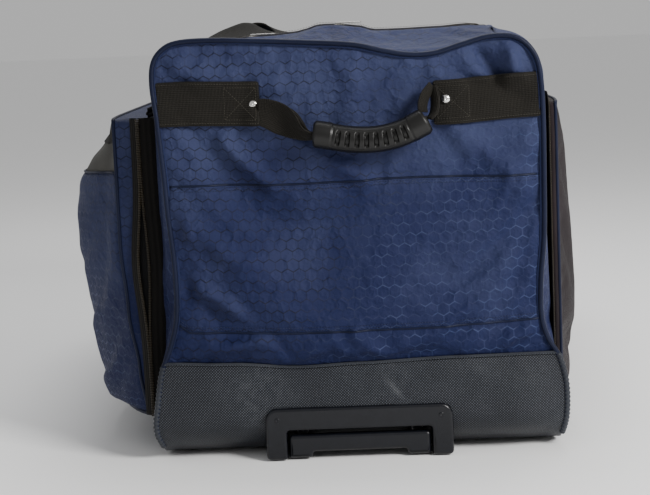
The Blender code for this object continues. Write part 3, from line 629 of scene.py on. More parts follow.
# ------------------------------------------------------------------ shader node groups
class NodeSheet:
    """A node tree being drawn up, with short calls for common nodes."""

    def __init__(self, tree: bpy.types.NodeTree) -> None:
        """Wraps a tree."""
        self.tree = tree

    def node(self, kind: str, **settings: object) -> bpy.types.Node:
        """Adds a node and sets its properties."""
        made = self.tree.nodes.new(kind)
        for name, value in settings.items():
            setattr(made, name, value)
        return made

    def put(self, value: object, socket: bpy.types.NodeSocket) -> None:
        """Links an output to a socket, or sets the socket's own value."""
        if isinstance(value, bpy.types.NodeSocket):
            self.tree.links.new(value, socket)
        else:
            socket.default_value = value

    def math(
        self, operation: str, a: object, b: object = 0.0, c: object = 0.0, clamp: bool = False
    ) -> bpy.types.NodeSocket:
        """Adds a Math node."""
        made = self.node("ShaderNodeMath", operation=operation, use_clamp=clamp)
        for value, socket in zip((a, b, c), made.inputs):
            self.put(value, socket)
        return made.outputs[0]

    def add(self, a: object, b: object) -> bpy.types.NodeSocket:
        """Adds two values."""
        return self.math("ADD", a, b)

    def sub(self, a: object, b: object) -> bpy.types.NodeSocket:
        """Takes b from a."""
        return self.math("SUBTRACT", a, b)

    def mul(self, a: object, b: object) -> bpy.types.NodeSocket:
        """Multiplies two values."""
        return self.math("MULTIPLY", a, b)

    def vector(self, operation: str, a: object, b: object = (0, 0, 0)) -> bpy.types.NodeSocket:
        """Adds a Vector Math node and returns its vector."""
        made = self.node("ShaderNodeVectorMath", operation=operation)
        self.put(a, made.inputs[0])
        self.put(b, made.inputs[1])
        return made.outputs[0]

    def split(self, vector: object) -> tuple[bpy.types.NodeSocket, ...]:
        """Returns a vector's three parts."""
        made = self.node("ShaderNodeSeparateXYZ")
        self.put(vector, made.inputs[0])
        return tuple(made.outputs)

    def noise(
        self, vector: object, scale: float, detail: float = 2.0, roughness: float = 0.5
    ) -> bpy.types.NodeSocket:
        """Adds a Noise texture and returns its factor."""
        made = self.node("ShaderNodeTexNoise")
        self.put(vector, made.inputs["Vector"])
        made.inputs["Scale"].default_value = scale
        made.inputs["Detail"].default_value = detail
        made.inputs["Roughness"].default_value = roughness
        return made.outputs[0]

    def span(
        self, value: object, low: object, high: object, out_low: float = 0.0, out_high: float = 1.0
    ) -> bpy.types.NodeSocket:
        """Maps a value smoothly from one range to another."""
        made = self.node("ShaderNodeMapRange", interpolation_type="SMOOTHSTEP")
        for item, socket in zip((value, low, high, out_low, out_high), made.inputs):
            self.put(item, socket)
        return made.outputs[0]

    def mix(self, share: object, a: object, b: object) -> bpy.types.NodeSocket:
        """Mixes two colours."""
        made = self.node("ShaderNodeMix", data_type="RGBA")
        self.put(share, made.inputs[0])
        self.put(a, made.inputs[6])
        self.put(b, made.inputs[7])
        return made.outputs[2]


def node_group(
    name: str, inputs: dict[str, tuple[str, object]], outputs: Sequence[str], draw: Callable[
        [NodeSheet, dict], dict
    ]
) -> bpy.types.NodeTree:
    """Builds a node group once.

    Args:
        name: The group's name.
        inputs: Each input's socket type and default.
        outputs: The names of its value outputs.
        draw: Adds the nodes and returns each output's socket.

    Returns:
        The group.
    """
    if name in bpy.data.node_groups:
        return bpy.data.node_groups[name]
    tree = bpy.data.node_groups.new(name, "ShaderNodeTree")
    for label, (kind, default) in inputs.items():
        socket = tree.interface.new_socket(label, in_out="INPUT", socket_type=kind)
        if default is not None:
            socket.default_value = default
    for label in outputs:
        tree.interface.new_socket(label, in_out="OUTPUT", socket_type="NodeSocketFloat")
    sheet = NodeSheet(tree)
    entry, leaving = sheet.node("NodeGroupInput"), sheet.node("NodeGroupOutput")
    made = draw(sheet, {s.name: s for s in entry.outputs})
    for label, socket in made.items():
        sheet.put(socket, leaving.inputs[label])
    return tree


VECTOR_IN = ("NodeSocketVector", None)
FLOAT = "NodeSocketFloat"


def hexagon_weave() -> bpy.types.NodeTree:
    """Returns the group that draws a honeycomb of woven lines on cloth measured in metres."""

    def draw(s: NodeSheet, given: dict) -> dict:
        scaled = s.node("ShaderNodeVectorMath", operation="SCALE")
        s.put(given["Cloth"], scaled.inputs[0])
        s.put(s.math("DIVIDE", 1.0, given["Cell"]), scaled.inputs["Scale"])
        x, y, _ = s.split(scaled.outputs[0])
        root3 = math.sqrt(3.0)

        def cell(dx: float, dy: float) -> tuple[object, object, object]:
            gx = s.sub(s.math("FLOORED_MODULO", s.add(x, dx), 1.0), 0.5)
            gy = s.sub(s.math("FLOORED_MODULO", s.add(y, dy), root3), root3 / 2)
            return gx, gy, s.add(s.mul(gx, gx), s.mul(gy, gy))

        ax, ay, a2 = cell(0.0, 0.0)
        bx, by, b2 = cell(0.5, root3 / 2)
        pick = s.math("LESS_THAN", a2, b2)

        def choose(a: object, b: object) -> object:
            return s.math("ABSOLUTE", s.add(b, s.mul(pick, s.sub(a, b))))

        gx, gy = choose(ax, bx), choose(ay, by)
        slant = s.add(s.mul(gx, 0.5), s.mul(gy, root3 / 2))
        inner = s.sub(0.5, given["Line"])
        outer = s.sub(0.5, s.mul(given["Line"], 0.35))
        return {
            "Zigzag": s.span(slant, inner, outer),
            "Upright": s.span(gx, inner, outer),
        }

    return node_group(
        "Hexagon weave",
        {"Cloth": VECTOR_IN, "Cell": (FLOAT, 0.0133), "Line": (FLOAT, 0.05)},
        ("Zigzag", "Upright"),
        draw,
    )


def thread_weave() -> bpy.types.NodeTree:
    """Returns the group that draws crossing threads: a height and a tone."""

    def draw(s: NodeSheet, given: dict) -> dict:
        x, y, _ = s.split(given["Cloth"])
        warp = s.math("SINE", s.math("DIVIDE", s.mul(x, 2 * math.pi), given["Warp"]))
        weft = s.math("SINE", s.math("DIVIDE", s.mul(y, 2 * math.pi), given["Weft"]))
        height = s.add(s.mul(warp, 0.5), s.mul(weft, 0.5))
        fuzz = s.noise(given["Cloth"], 900.0, 3.0)
        return {"Height": height, "Tone": s.add(s.mul(height, 0.35), fuzz)}

    return node_group(
        "Thread weave", {"Cloth": VECTOR_IN, "Warp": (FLOAT, 0.0012), "Weft": (FLOAT, 0.0012)}, (
            "Height", "Tone"
        ), draw
    )


def dot_lattice() -> bpy.types.NodeTree:
    """Returns the group that embosses a diagonal lattice of dots."""

    def draw(s: NodeSheet, given: dict) -> dict:
        x, y, _ = s.split(given["Cloth"])
        turn = s.math("DIVIDE", 2 * math.pi, given["Pitch"])
        wave = s.mul(s.math("COSINE", s.mul(x, turn)), s.math("COSINE", s.mul(y, turn)))
        return {"Dot": s.span(wave, 0.15, 0.85)}

    return node_group("Dot lattice", {"Cloth": VECTOR_IN, "Pitch": (FLOAT, 0.0028)}, ("Dot",), draw)


def use_and_dust() -> bpy.types.NodeTree:
    """Returns the group that spreads soft patches of wear and dust over a piece. Its broad patches also serve
    the navy hexagon cloth as painted light and shade on folds, and its rubbing mask places the zip coil's
    painted gold glints.
    """

    def draw(s: NodeSheet, given: dict) -> dict:
        broad = s.noise(given["Place"], 9.0, 3.0, 0.55)
        fine = s.noise(given["Place"], 130.0, 4.0, 0.6)
        rubbed = s.mul(s.span(broad, 0.42, 0.72), s.span(fine, 0.35, 0.75))
        return {
            "Rubbed": s.mul(rubbed, given["Amount"]),
            "Patch": broad,
        }

    return node_group("Use and dust", {"Place": VECTOR_IN, "Amount": (FLOAT, 0.5)}, ("Rubbed", "Patch"), draw)


def moulded_grain() -> bpy.types.NodeTree:
    """Returns the group that gives moulded plastic its fine grain."""

    def draw(s: NodeSheet, given: dict) -> dict:
        x = s.noise(given["Place"], 1400.0, 2.0)
        y = s.noise(given["Place"], 260.0, 2.0)
        return {"Grain": s.add(s.mul(x, given["Fine"]), s.mul(y, 0.4))}

    return node_group("Moulded grain", {"Place": VECTOR_IN, "Fine": (FLOAT, 0.6)}, ("Grain",), draw)


class MaterialSheet(NodeSheet):
    """A material being drawn up around its Principled shader."""

    def __init__(self, name: str) -> None:
        """Makes the material with its shader, cloth map and object coordinates."""
        self.material = bpy.data.materials.new(name)
        self.material.use_nodes = True
        super().__init__(self.material.node_tree)
        self.shader = self.tree.nodes["Principled BSDF"]
        self.cloth = self.node("ShaderNodeUVMap", uv_map="Cloth").outputs[0]
        self.place = self.node("ShaderNodeTexCoord").outputs["Object"]

    def group(self, tree: bpy.types.NodeTree, **values: object) -> dict[str, bpy.types.NodeSocket]:
        """Places a node group with its own values and returns its outputs."""
        made = self.node("ShaderNodeGroup", node_tree=tree)
        for name, value in values.items():
            self.put(value, made.inputs[name])
        return {s.name: s for s in made.outputs}

    def wear(self, amount: float) -> dict[str, bpy.types.NodeSocket]:
        """Places the wear and dust over the piece, with the broad patches that the navy cloth uses as painted
        light and shade.
        """
        return self.group(use_and_dust(), Place=self.place, Amount=amount)

    def threads(self, warp: float, weft: float) -> dict[str, bpy.types.NodeSocket]:
        """Places the crossing threads on the cloth."""
        return self.group(thread_weave(), Cloth=self.cloth, Warp=warp, Weft=weft)

    def bump(self, height: object, distance: float, strength: float = 1.0) -> None:
        """Feeds a height to the shader's normal."""
        made = self.node("ShaderNodeBump")
        made.inputs["Distance"].default_value = distance
        made.inputs["Strength"].default_value = strength
        self.put(height, made.inputs["Height"])
        self.put(made.outputs[0], self.shader.inputs["Normal"])

    def set(self, **values: object) -> None:
        """Sets or links the shader's own sockets; an underscore stands for a space."""
        for name, value in values.items():
            self.put(value, self.shader.inputs[name.replace("_", " ")])


def rgba(colour: Sequence[float]) -> tuple[float, float, float, float]:
    """Returns a colour with full opacity."""
    return (*colour, 1.0)


# ------------------------------------------------------------------ finishes
@dataclass(frozen=True)
class HexagonCloth:
    """Navy polyester with tonal hexagons, darker lines in one light and paler in another. That sheen is painted
    by place, the lines darker towards the top left and paler towards the right and bottom, and the cloth itself
    is painted paler towards the top and in broad patches.
    """

    name: str = "navy hexagon cloth"
    ground: tuple = (0.006, 0.01, 0.046)
    # Paler colour, partly wear and partly painted light: it comes in broad patches that stand for the light and
    # shade of folds, and more of it towards the top of the bag, as if lit from above.
    worn: tuple = (0.027, 0.035, 0.086)
    # The hexagon lines' colour without and with their painted sheen.
    dark_line: tuple = (0.001, 0.0018, 0.011)
    pale_line: tuple = (0.034, 0.049, 0.12)
    cell: float = 0.0133
    line_share: float = 0.85

    def build(self) -> bpy.types.Material:
        """Returns the material."""
        m = MaterialSheet(self.name)
        lines = m.group(hexagon_weave(), Cloth=m.cloth, Cell=self.cell, Line=0.062)
        threads = m.threads(0.00062, 0.00074)
        use = m.wear(0.8)
        # Painted light: height pushes the cloth towards the paler colour, so it is paler at the top of the bag
        # and darker at the bottom, on top of the broad patches that stand for light and shade on folds.
        rise = m.mul(m.sub(m.split(m.place)[2], 0.27), 1.1)
        ground = m.mix(m.span(m.add(use["Patch"], rise), 0.3, 0.8), rgba(self.ground), rgba(self.worn))
        ground = m.mix(
            m.mul(m.span(threads["Tone"], 0.3, 0.9), 0.25), ground, rgba([c * 1.5 for c in self.ground])
        )
        u, v, _ = m.split(m.cloth)
        lean = m.add(m.mul(u, 2.4), m.mul(v, -1.3))
        lean = m.add(lean, m.mul(m.noise(m.place, 7.0, 2.0), 0.9))
        # Painted sheen on the lines: by place across the panel they go from dark at the top left to pale at the
        # right and bottom, standing for how their gloss catches the light; where they are pale they are also
        # broken up more.
        line_sheen = m.span(lean, 0.0, 0.55)
        lines_colour = m.mix(line_sheen, rgba(self.dark_line), rgba(self.pale_line))
        mask = m.math("MAXIMUM", lines["Zigzag"], m.mul(lines["Upright"], 0.45))
        kept = m.math("MULTIPLY_ADD", line_sheen, -0.4, 0.5)
        broken = m.mul(mask, m.span(m.noise(m.place, 44.0, 2.0), 0.4, 0.58, kept, 1.0))
        share = m.mul(broken, self.line_share)
        m.set(Base_Color=m.mix(share, ground, lines_colour))
        m.set(Roughness=m.sub(0.6, m.mul(mask, 0.18)))
        m.set(Sheen_Weight=0.03, Sheen_Roughness=0.5, Specular_IOR_Level=0.16)
        crumple = m.noise(m.place, 85.0, 4.0, 0.6)
        ridge = m.math("ABSOLUTE", m.sub(m.noise(m.place, 34.0, 3.0, 0.55), 0.5))
        crumple = m.sub(crumple, m.mul(m.math("MINIMUM", ridge, 0.12), 9.0))
        height = m.add(m.mul(threads["Height"], 0.1), m.mul(crumple, 1.1))
        m.bump(m.add(height, m.mul(mask, 0.12)), 0.0011, 0.8)
        return m.material


@dataclass(frozen=True)
class PlainCloth:
    """Plain woven polyester, such as the flat pocket's, a gusset's or a lining's; the black lining behind the
    left pocket's zip also stands for the shade inside that pocket.
    """

    name: str
    ground: tuple
    shade: tuple
    roughness: float = 0.62
    sheen: float = 0.02

    def build(self) -> bpy.types.Material:
        """Returns the material."""
        m = MaterialSheet(self.name)
        threads = m.threads(0.0007, 0.0008)
        use = m.wear(0.6)
        ground = m.mix(m.span(use["Patch"], 0.32, 0.7), rgba(self.ground), rgba(self.shade))
        m.set(Base_Color=m.mix(m.mul(threads["Tone"], 0.2), ground, rgba([c * 1.9 for c in self.ground])))
        m.set(Roughness=m.add(self.roughness - 0.06, m.mul(use["Rubbed"], 0.15)))
        m.set(Sheen_Weight=self.sheen, Sheen_Roughness=0.5, Specular_IOR_Level=0.15)
        crumple = m.noise(m.place, 70.0, 4.0, 0.6)
        m.bump(m.add(m.mul(threads["Height"], 0.14), crumple), 0.0012, 0.8)
        return m.material


@dataclass(frozen=True)
class EmbossedBase:
    """Coated base cloth, black, embossed with a diagonal lattice of small dots."""

    name: str = "embossed base cloth"
    ground: tuple = (0.0018, 0.0022, 0.0042)
    dot: tuple = (0.085, 0.098, 0.125)
    pitch: float = 0.0032

    def build(self) -> bpy.types.Material:
        """Returns the material."""
        m = MaterialSheet(self.name)
        lattice = m.group(dot_lattice(), Cloth=m.cloth, Pitch=self.pitch)
        use = m.wear(0.9)
        share = m.mul(lattice["Dot"], m.span(use["Patch"], 0.25, 0.75, 0.6, 1.0))
        colour = m.mix(share, rgba(self.ground), rgba(self.dot))
        m.set(Base_Color=m.mix(m.mul(use["Rubbed"], 0.25), colour, rgba((0.1, 0.105, 0.115))))
        m.set(Roughness=m.sub(0.47, m.mul(lattice["Dot"], 0.1)))
        m.set(Specular_IOR_Level=0.34)
        m.bump(m.add(lattice["Dot"], m.mul(m.noise(m.place, 45.0, 3.0), 2.5)), 0.0005, 0.8)
        return m.material


@dataclass(frozen=True)
class Webbing:
    """Black polypropylene webbing, ribbed across, faded brown where it is handled."""

    name: str
    ground: tuple = (0.0055, 0.0048, 0.0037)
    thread: tuple = (0.022, 0.0195, 0.0155)
    rib: float = 0.0016

    def build(self) -> bpy.types.Material:
        """Returns the material."""
        m = MaterialSheet(self.name)
        threads = m.threads(0.0021, self.rib)
        use = m.wear(0.8)
        share = m.mul(m.span(threads["Tone"], 0.2, 1.0), m.span(use["Patch"], 0.2, 0.8, 0.45, 1.0))
        m.set(Base_Color=m.mix(share, rgba(self.ground), rgba(self.thread)))
        m.set(Roughness=m.add(0.66, m.mul(use["Rubbed"], 0.12)))
        m.set(Sheen_Weight=0.02, Sheen_Roughness=0.5, Specular_IOR_Level=0.14)
        m.bump(m.add(threads["Height"], m.mul(m.noise(m.place, 500.0, 3.0), 0.8)), 0.00045, 0.9)
        return m.material


@dataclass(frozen=True)
class Moulded:
    """Moulded plastic or rubber, with a fine grain and paler high spots worn by rubbing; on the zip coil those
    paler spots are painted gold glints.
    """

    name: str
    ground: tuple
    rubbed: tuple
    roughness: float
    grain: float = 0.0002
    coat: float = 0.0

    def build(self) -> bpy.types.Material:
        """Returns the material."""
        m = MaterialSheet(self.name)
        grain = m.group(moulded_grain(), Place=m.place, Fine=0.7)
        use = m.wear(0.7)
        # Wear on most parts; on the zip coil this mix paints bright gold glints, a painted highlight.
        m.set(Base_Color=m.mix(m.mul(use["Rubbed"], 0.5), rgba(self.ground), rgba(self.rubbed)))
        m.set(Roughness=m.span(use["Patch"], 0.2, 0.8, self.roughness - 0.05, self.roughness + 0.08))
        m.set(Specular_IOR_Level=0.35)
        if self.coat:
            m.set(Coat_Weight=self.coat, Coat_Roughness=0.3)
        m.bump(grain["Grain"], self.grain, 0.6)
        return m.material


@dataclass(frozen=True)
class Metal:
    """Plated or anodised metal with fine drawn lines and light tarnish."""

    name: str
    ground: tuple
    tarnish: tuple
    roughness: float

    def build(self) -> bpy.types.Material:
        """Returns the material."""
        m = MaterialSheet(self.name)
        use = m.wear(0.8)
        stretched = m.vector("MULTIPLY", m.place, (60.0, 900.0, 900.0))
        drawn = m.noise(stretched, 1.0, 2.0)
        m.set(Base_Color=m.mix(m.mul(use["Rubbed"], 0.7), rgba(self.ground), rgba(self.tarnish)))
        m.set(Roughness=m.add(self.roughness, m.mul(drawn, 0.12)))
        m.set(Metallic=1.0)
        m.bump(drawn, 0.00004, 0.5)
        return m.material


@dataclass(frozen=True)
class VentMesh:
    """Open knitted mesh over a dark lining."""

    name: str = "vent mesh"
    thread: tuple = (0.105, 0.101, 0.09)
    hole: tuple = (0.012, 0.011, 0.01)

    def build(self) -> bpy.types.Material:
        """Returns the material."""
        m = MaterialSheet(self.name)
        lattice = m.group(dot_lattice(), Cloth=m.cloth, Pitch=0.003)
        use = m.wear(0.9)
        hole = m.mul(lattice["Dot"], 0.8)
        thread = m.mix(
            m.span(use["Patch"], 0.35, 0.65), rgba(self.thread), rgba([c * 0.45 for c in self.thread])
        )
        m.set(Base_Color=m.mix(hole, thread, rgba(self.hole)))
        m.set(Roughness=m.sub(0.85, m.mul(hole, 0.1)))
        m.bump(m.sub(m.noise(m.place, 60.0, 3.0), m.mul(lattice["Dot"], 0.5)), 0.001, 0.9)
        return m.material


@dataclass
class Wardrobe:
    """Every finish on the bag, made once."""

    made: dict[str, bpy.types.Material] = field(default_factory=dict)
    finishes: dict[str, object] = field(
        default_factory=lambda: {
            "navy": HexagonCloth(),
            "navy_plain": PlainCloth("navy gusset cloth", (0.006, 0.01, 0.04), (0.012, 0.018, 0.058)),
            "piping": PlainCloth("navy piping cloth", (0.003, 0.0048, 0.017), (0.007, 0.01, 0.029), 0.5),
            "pocket": PlainCloth("dark pocket cloth", (0.0075, 0.0042, 0.0055), (0.015, 0.009, 0.011)),
            # Black lining, partly painted shade: behind the left pocket's parted zip it stands for the dark
            # inside of the open pocket.
            "lining": PlainCloth("black lining", (0.006, 0.006, 0.007), (0.012, 0.012, 0.013)),
            "base": EmbossedBase(),
            "hem": PlainCloth("base hem binding", (0.016, 0.018, 0.024), (0.04, 0.044, 0.052), 0.5),
            "webbing": Webbing("strap webbing"),
            "tape": Webbing("zip tape", (0.005, 0.0045, 0.0042), (0.016, 0.014, 0.012), 0.0011),
            # The zip coil's second colour is a painted highlight: bright gold glints in random spots.
            "coil": Moulded("zip coil", (0.03, 0.023, 0.013), (0.15, 0.105, 0.045), 0.34, 0.00002, 0.3),
            "thread": PlainCloth("sewing thread", (0.01, 0.014, 0.042), (0.02, 0.026, 0.066), 0.55),
            "dark_thread": PlainCloth("black sewing thread", (0.022, 0.02, 0.016), (0.042, 0.038, 0.03), 0.55),
            "hem_thread": PlainCloth("hem thread", (0.045, 0.05, 0.062), (0.085, 0.09, 0.105), 0.55),
            "grip": Moulded("grip rubber", (0.0036, 0.0034, 0.0032), (0.014, 0.0135, 0.0125), 0.36, 0.00015),
            "housing": Moulded(
                "housing plastic", (0.0032, 0.0037, 0.006), (0.016, 0.018, 0.024), 0.27, 0.00016
            ),
            "wheel": Moulded("wheel tyre", (0.016, 0.016, 0.017), (0.06, 0.058, 0.055), 0.5, 0.0002),
            "hub": Moulded("wheel hub", (0.07, 0.073, 0.078), (0.14, 0.14, 0.14), 0.42),
            "board": Moulded("floor board", (0.02, 0.02, 0.022), (0.05, 0.05, 0.05), 0.55),
            "tube": Metal("anodised tube", (0.52, 0.53, 0.55), (0.3, 0.3, 0.31), 0.28),
            "steel": Metal("plated steel", (0.72, 0.71, 0.69), (0.35, 0.31, 0.26), 0.16),
            "mesh": VentMesh(),
        }
    )

    def get(self, name: str) -> bpy.types.Material:
        """Returns a finish's material."""
        if name not in self.made:
            self.made[name] = self.finishes[name].build()
        return self.made[name]

    def dress(self, obj: bpy.types.Object, finish: str, slot: str, body: str, *nodes: str) -> bpy.types.Object:
        """Gives a piece its material and body, and hides the CAD nodes it stands for.

        Args:
            obj: The piece.
            finish: The name of its finish.
            slot: The record's material slot; not used.
            body: The body it rides on.
            nodes: The CAD nodes it replaces.

        Returns:
            The piece.
        """
        obj.data.materials.clear()
        obj.data.materials.append(self.get(finish))
        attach(obj, body)
        if nodes:
            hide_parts(*nodes)
        LOG.info("%s rides on %s", obj.name, body)
        return obj


WARDROBE = Wardrobe()


def declare_sheet(obj: bpy.types.Object) -> None:
    """Reads the size a sewn panel was cut to from its cloth map, its width, length and area, which nothing then
    uses.
    """
    layer = obj.data.uv_layers["Cloth"].data
    us, vs = [d.uv[0] for d in layer], [d.uv[1] for d in layer]
    width, length = max(us) - min(us), max(vs) - min(vs)
    area = 0.0
    for face in obj.data.polygons:
        points = [layer[i].uv for i in face.loop_indices]
        area += abs(sum(a[0] * b[1] - b[0] * a[1] for a, b in zip(points, points[1:] + points[:1]))) / 2
    area = min(area, width * length)


def sew(
    obj: bpy.types.Object, thickness: float, finish: str, slot: str, body: str, *nodes: str, subdivide: int = 1
) -> None:
    """Thickens and dresses a sewn panel and reads its cut size, as thicken, dress and declare_sheet say."""
    thicken(obj, thickness, subdivide)
    WARDROBE.dress(obj, finish, slot, body, *nodes)
    declare_sheet(obj)


# ------------------------------------------------------------------ the bag's own lines
@dataclass
class BagLines:
    """The lines that the sewn panels share: the two end rings, the hem and the top."""

    middle_x: float = 0.0
    half_width: float = 0.2275
    end_y: float = 0.4505
    hem_z: float = 0.11
    floor_z: float = 0.0025
    roll: float = 0.05
    # The front ring, (across, up) from the left foot over the top to the right foot.
    ring: tuple = (
        (-0.229, 0.014), (-0.2345, 0.038), (-0.23, 0.074), (-0.2235, 0.108), (-0.213, 0.135), (-0.205, 0.165),
        (-0.203, 0.2), (-0.204, 0.24), (-0.2075, 0.285), (-0.2105, 0.34), (-0.2145, 0.395), (-0.218, 0.435),
        (-0.215, 0.46), (-0.203, 0.475), (-0.185, 0.4815), (-0.15, 0.4825), (-0.1035, 0.48), (-0.0392, 0.4755),
        (0.01, 0.471), (0.045, 0.4625), (0.072, 0.4575), (0.1, 0.458), (0.13, 0.466), (0.16, 0.4735),
        (0.186, 0.473), (0.203, 0.464), (0.214, 0.448), (0.2185, 0.425), (0.22, 0.385), (0.2195, 0.32),
        (0.218, 0.25), (0.213, 0.196), (0.2125, 0.156), (0.219, 0.13), (0.231, 0.108), (0.2385, 0.076),
        (0.2385, 0.04), (0.2345, 0.014),
    )
    hem: tuple = (
        (-0.22, 0.115), (-0.145, 0.112), (-0.06, 0.106), (0.0035, 0.108), (0.111, 0.111), (0.2295, 0.112)
    )

    def at(self, x: float, y: float, z: float) -> Vector:
        """Returns a point given from the bag's middle plane."""
        return Vector((self.middle_x + x, y, z))

    def front_ring(self) -> list[Vector]:
        """Returns the front ring as a fine curve."""
        rim = spline([(x, z, 0.0) for x, z in self.ring], 8)
        return [self.at(p.x, -self.end_y + 0.004 * math.sin(9 * p.x) ** 2 + self.rolled(p.y), p.y) for p in rim]

    def rolled(self, z: float) -> float:
        """Returns how far the base has rolled back under the bag at a height."""
        rise = (self.floor_z + self.roll - z) / self.roll
        return 0.0 if rise <= 0 else self.roll * (1 - math.sqrt(max(0.0, 1 - rise * rise)))

    def rear_ring(self) -> list[Vector]:
        """Returns the rear ring: plainer than the front one, and a little fuller."""
        shape = [
            (-0.23, 0.014), (-0.232, 0.06), (-0.227, 0.108), (-0.22, 0.16), (-0.219, 0.26), (-0.22, 0.36),
            (-0.219, 0.425), (-0.208, 0.456), (-0.18, 0.472), (-0.12, 0.473), (-0.03, 0.469), (0.06, 0.468),
            (0.13, 0.472), (0.185, 0.47), (0.21, 0.454), (0.22, 0.42), (0.221, 0.36), (0.219, 0.26),
            (0.219, 0.16), (0.227, 0.108), (0.233, 0.06), (0.23, 0.014),
        ]
        rim = spline([(x, z, 0.0) for x, z in shape], 12)
        return [self.at(p.x, self.end_y, p.y) for p in rim]


def nearest_index(curve: Sequence[Vector], test: Callable[[Vector], float]) -> int:
    """Returns the number of the curve's point for which the test is least."""
    return min(range(len(curve)), key=lambda i: test(curve[i]))


@dataclass
class EndPanels:
    """The two hexagon-cloth ends with their overlay seams, straps, rivets and piping."""

    lines: BagLines
    columns: int = 78
    rows: int = 62
    fold_depth: float = 0.0105
    cloth: float = 0.0016
    seam_low: float = 0.151
    seam_high: float = 0.3185
    strap_width: float = STRAP_WIDTH
    strap_end: float = 0.0975
    rivets: tuple = ((-0.1045, 0.409), (0.1115, 0.4065))
    surfaces: dict = field(default_factory=dict)

    def patch(self, ring: list[Vector], hem: Callable[[float], float]) -> Grid:
        """Returns the rows of an end panel inside its ring, from the hem up."""
        left = nearest_index(ring[: len(ring) // 2], lambda p: abs(p.z - hem(p.x)))
        right_half = len(ring) // 2
        right = right_half + nearest_index(ring[right_half:], lambda p: abs(p.z - hem(p.x)))
        top_left = nearest_index(ring[:right_half], lambda p: (p - self.lines.at(-0.228, p.y, 0.49)).length)
        top_right = right_half + nearest_index(
            ring[right_half:], lambda p: (p - self.lines.at(0.228, p.y, 0.485)).length
        )
        side_l = spaced(ring[left : top_left + 1], self.rows)
        side_r = spaced(ring[top_right : right + 1], self.rows)[::-1]
        top = spaced(ring[top_left : top_right + 1], self.columns)
        bottom = []
        for i in range(self.columns + 1):
            x = side_l[0].x + (side_r[0].x - side_l[0].x) * i / self.columns
            bottom.append(Vector((x, side_l[0].y, hem(x))))
        bottom[0], bottom[-1] = side_l[0], side_r[0]
        return coons(bottom, top, side_l, side_r)

    def front_folds(self, p: Vector) -> float:
        """Returns how far the front panel stands out at a point, before it settles."""
        x, z = p.x - self.lines.middle_x, p.z
        folds = (
            (-0.098, 0.395, 0.02, 0.322, 0.011, 1.25),
            (-0.14, 0.372, -0.085, 0.322, 0.009, 0.9),
            (0.085, 0.445, 0.205, 0.402, 0.01, -0.9),
            (0.06, 0.462, 0.12, 0.425, 0.008, 0.9),
            (0.15, 0.457, 0.172, 0.428, 0.008, -1.5),
            (0.184, 0.462, 0.19, 0.436, 0.007, 1.2),
            (-0.19, 0.455, -0.08, 0.43, 0.012, 0.8),
            (-0.185, 0.27, -0.12, 0.235, 0.012, 0.7),
            (-0.175, 0.205, -0.135, 0.18, 0.008, 1.1),
            (0.12, 0.375, 0.21, 0.3, 0.014, 0.7),
            (0.185, 0.2, 0.215, 0.33, 0.012, -0.6),
            (-0.19, 0.122, -0.105, 0.146, 0.008, 1.1),
            (0.0, 0.148, 0.03, 0.118, 0.009, 0.8),
            (0.15, 0.118, 0.215, 0.15, 0.009, 0.9),
            (-0.06, 0.118, -0.03, 0.146, 0.01, 0.6),
        )
        out = 0.0
        for x0, z0, x1, z1, width, height in folds:
            a, b, q = Vector((x0, z0)), Vector((x1, z1)), Vector((x, z))
            t = max(0.0, min(1.0, (q - a).dot(b - a) / (b - a).length_squared))
            away = (q - a.lerp(b, t)).length
            out += height * hump(away, width)
        bulge = 0.9 * math.cos(math.pi * x / 0.46) * math.sin(math.pi * max(0.0, min(1.0, (z - 0.1) / 0.38)))
        return out * self.fold_depth + bulge * 0.01

    def panel(self, end: End) -> bpy.types.Object:
        """Builds, settles and dresses one end panel."""
        front = end is End.FRONT
        ring = self.lines.front_ring() if front else self.lines.rear_ring()
        knots = [(self.lines.middle_x + x, z) for x, z in self.lines.hem]
        hem = (lambda x: piecewise(knots, x)) if front else (lambda x: self.lines.hem_z)
        grid = self.patch(ring, hem)
        rows, cols = len(grid), len(grid[0])
        for j in range(1, rows - 1):
            for i in range(1, cols - 1):
                p = grid[j][i]
                edge = min(1.0, min(i, cols - 1 - i, j, rows - 1 - j) / 4)
                out = self.front_folds(p) if front else 0.01 + 0.006 * lumps(p, 0.11, 3.1)
                out += 0.0012 * lumps(p, 0.035, 7.7) + 0.004 * creases(p, 0.045, 1.3) + 0.0024 * creases(
                    p, 0.022, 6.1
                )
                p.y += end.value * edge * out
        flat = [(p.x - self.lines.middle_x, p.z) for row in grid for p in row]
        obj = grid_piece(f"end_panel_{end.label}_cloth", grid, lambda j, i: flat[j * cols + i], flip=not front)
        ClothSettler(spare=0.01, pressure=0.25, gravity=0.35, most=0.014).settle(obj, border(rows, cols))
        if front:
            self.pucker(obj)
        nodes = ("end_panel_front", "end_overlay_front") if front else ("end_panel_rear",)
        sew(obj, self.cloth, "navy", "navy_fabric", "bag", *nodes)
        bpy.context.view_layer.update()
        self.surfaces[end] = Surface(obj)
        return obj

    def seam_height(self, x: float, high: bool) -> float:
        """Returns the height of an overlay seam at a place across the bag."""
        if high:
            return self.seam_high + 0.001 * math.sin(25 * x)
        return self.seam_low - 0.0035 + 0.0045 * (x / 0.2) ** 2 + 0.01 * max(0.0, -x - 0.19) / 0.015

    def pucker(self, obj: bpy.types.Object) -> None:
        """Draws the cloth in along the overlay's seams, and lets the overlay stand proud."""
        for vert in obj.data.vertices:
            x, z = vert.co.x - self.lines.middle_x, vert.co.z
            if abs(x) > 0.208:
                continue
            for high in (True, False):
                away = abs(z - self.seam_height(x, high))
                gather = 0.55 + 0.45 * math.sin(x * 520 + 2 * math.sin(x * 90))
                vert.co.y += 0.0034 * hump(away, 0.004) * gather
            if self.seam_height(x, False) < z < self.seam_height(x, True):
                vert.co.y -= 0.002
        obj.data.update()

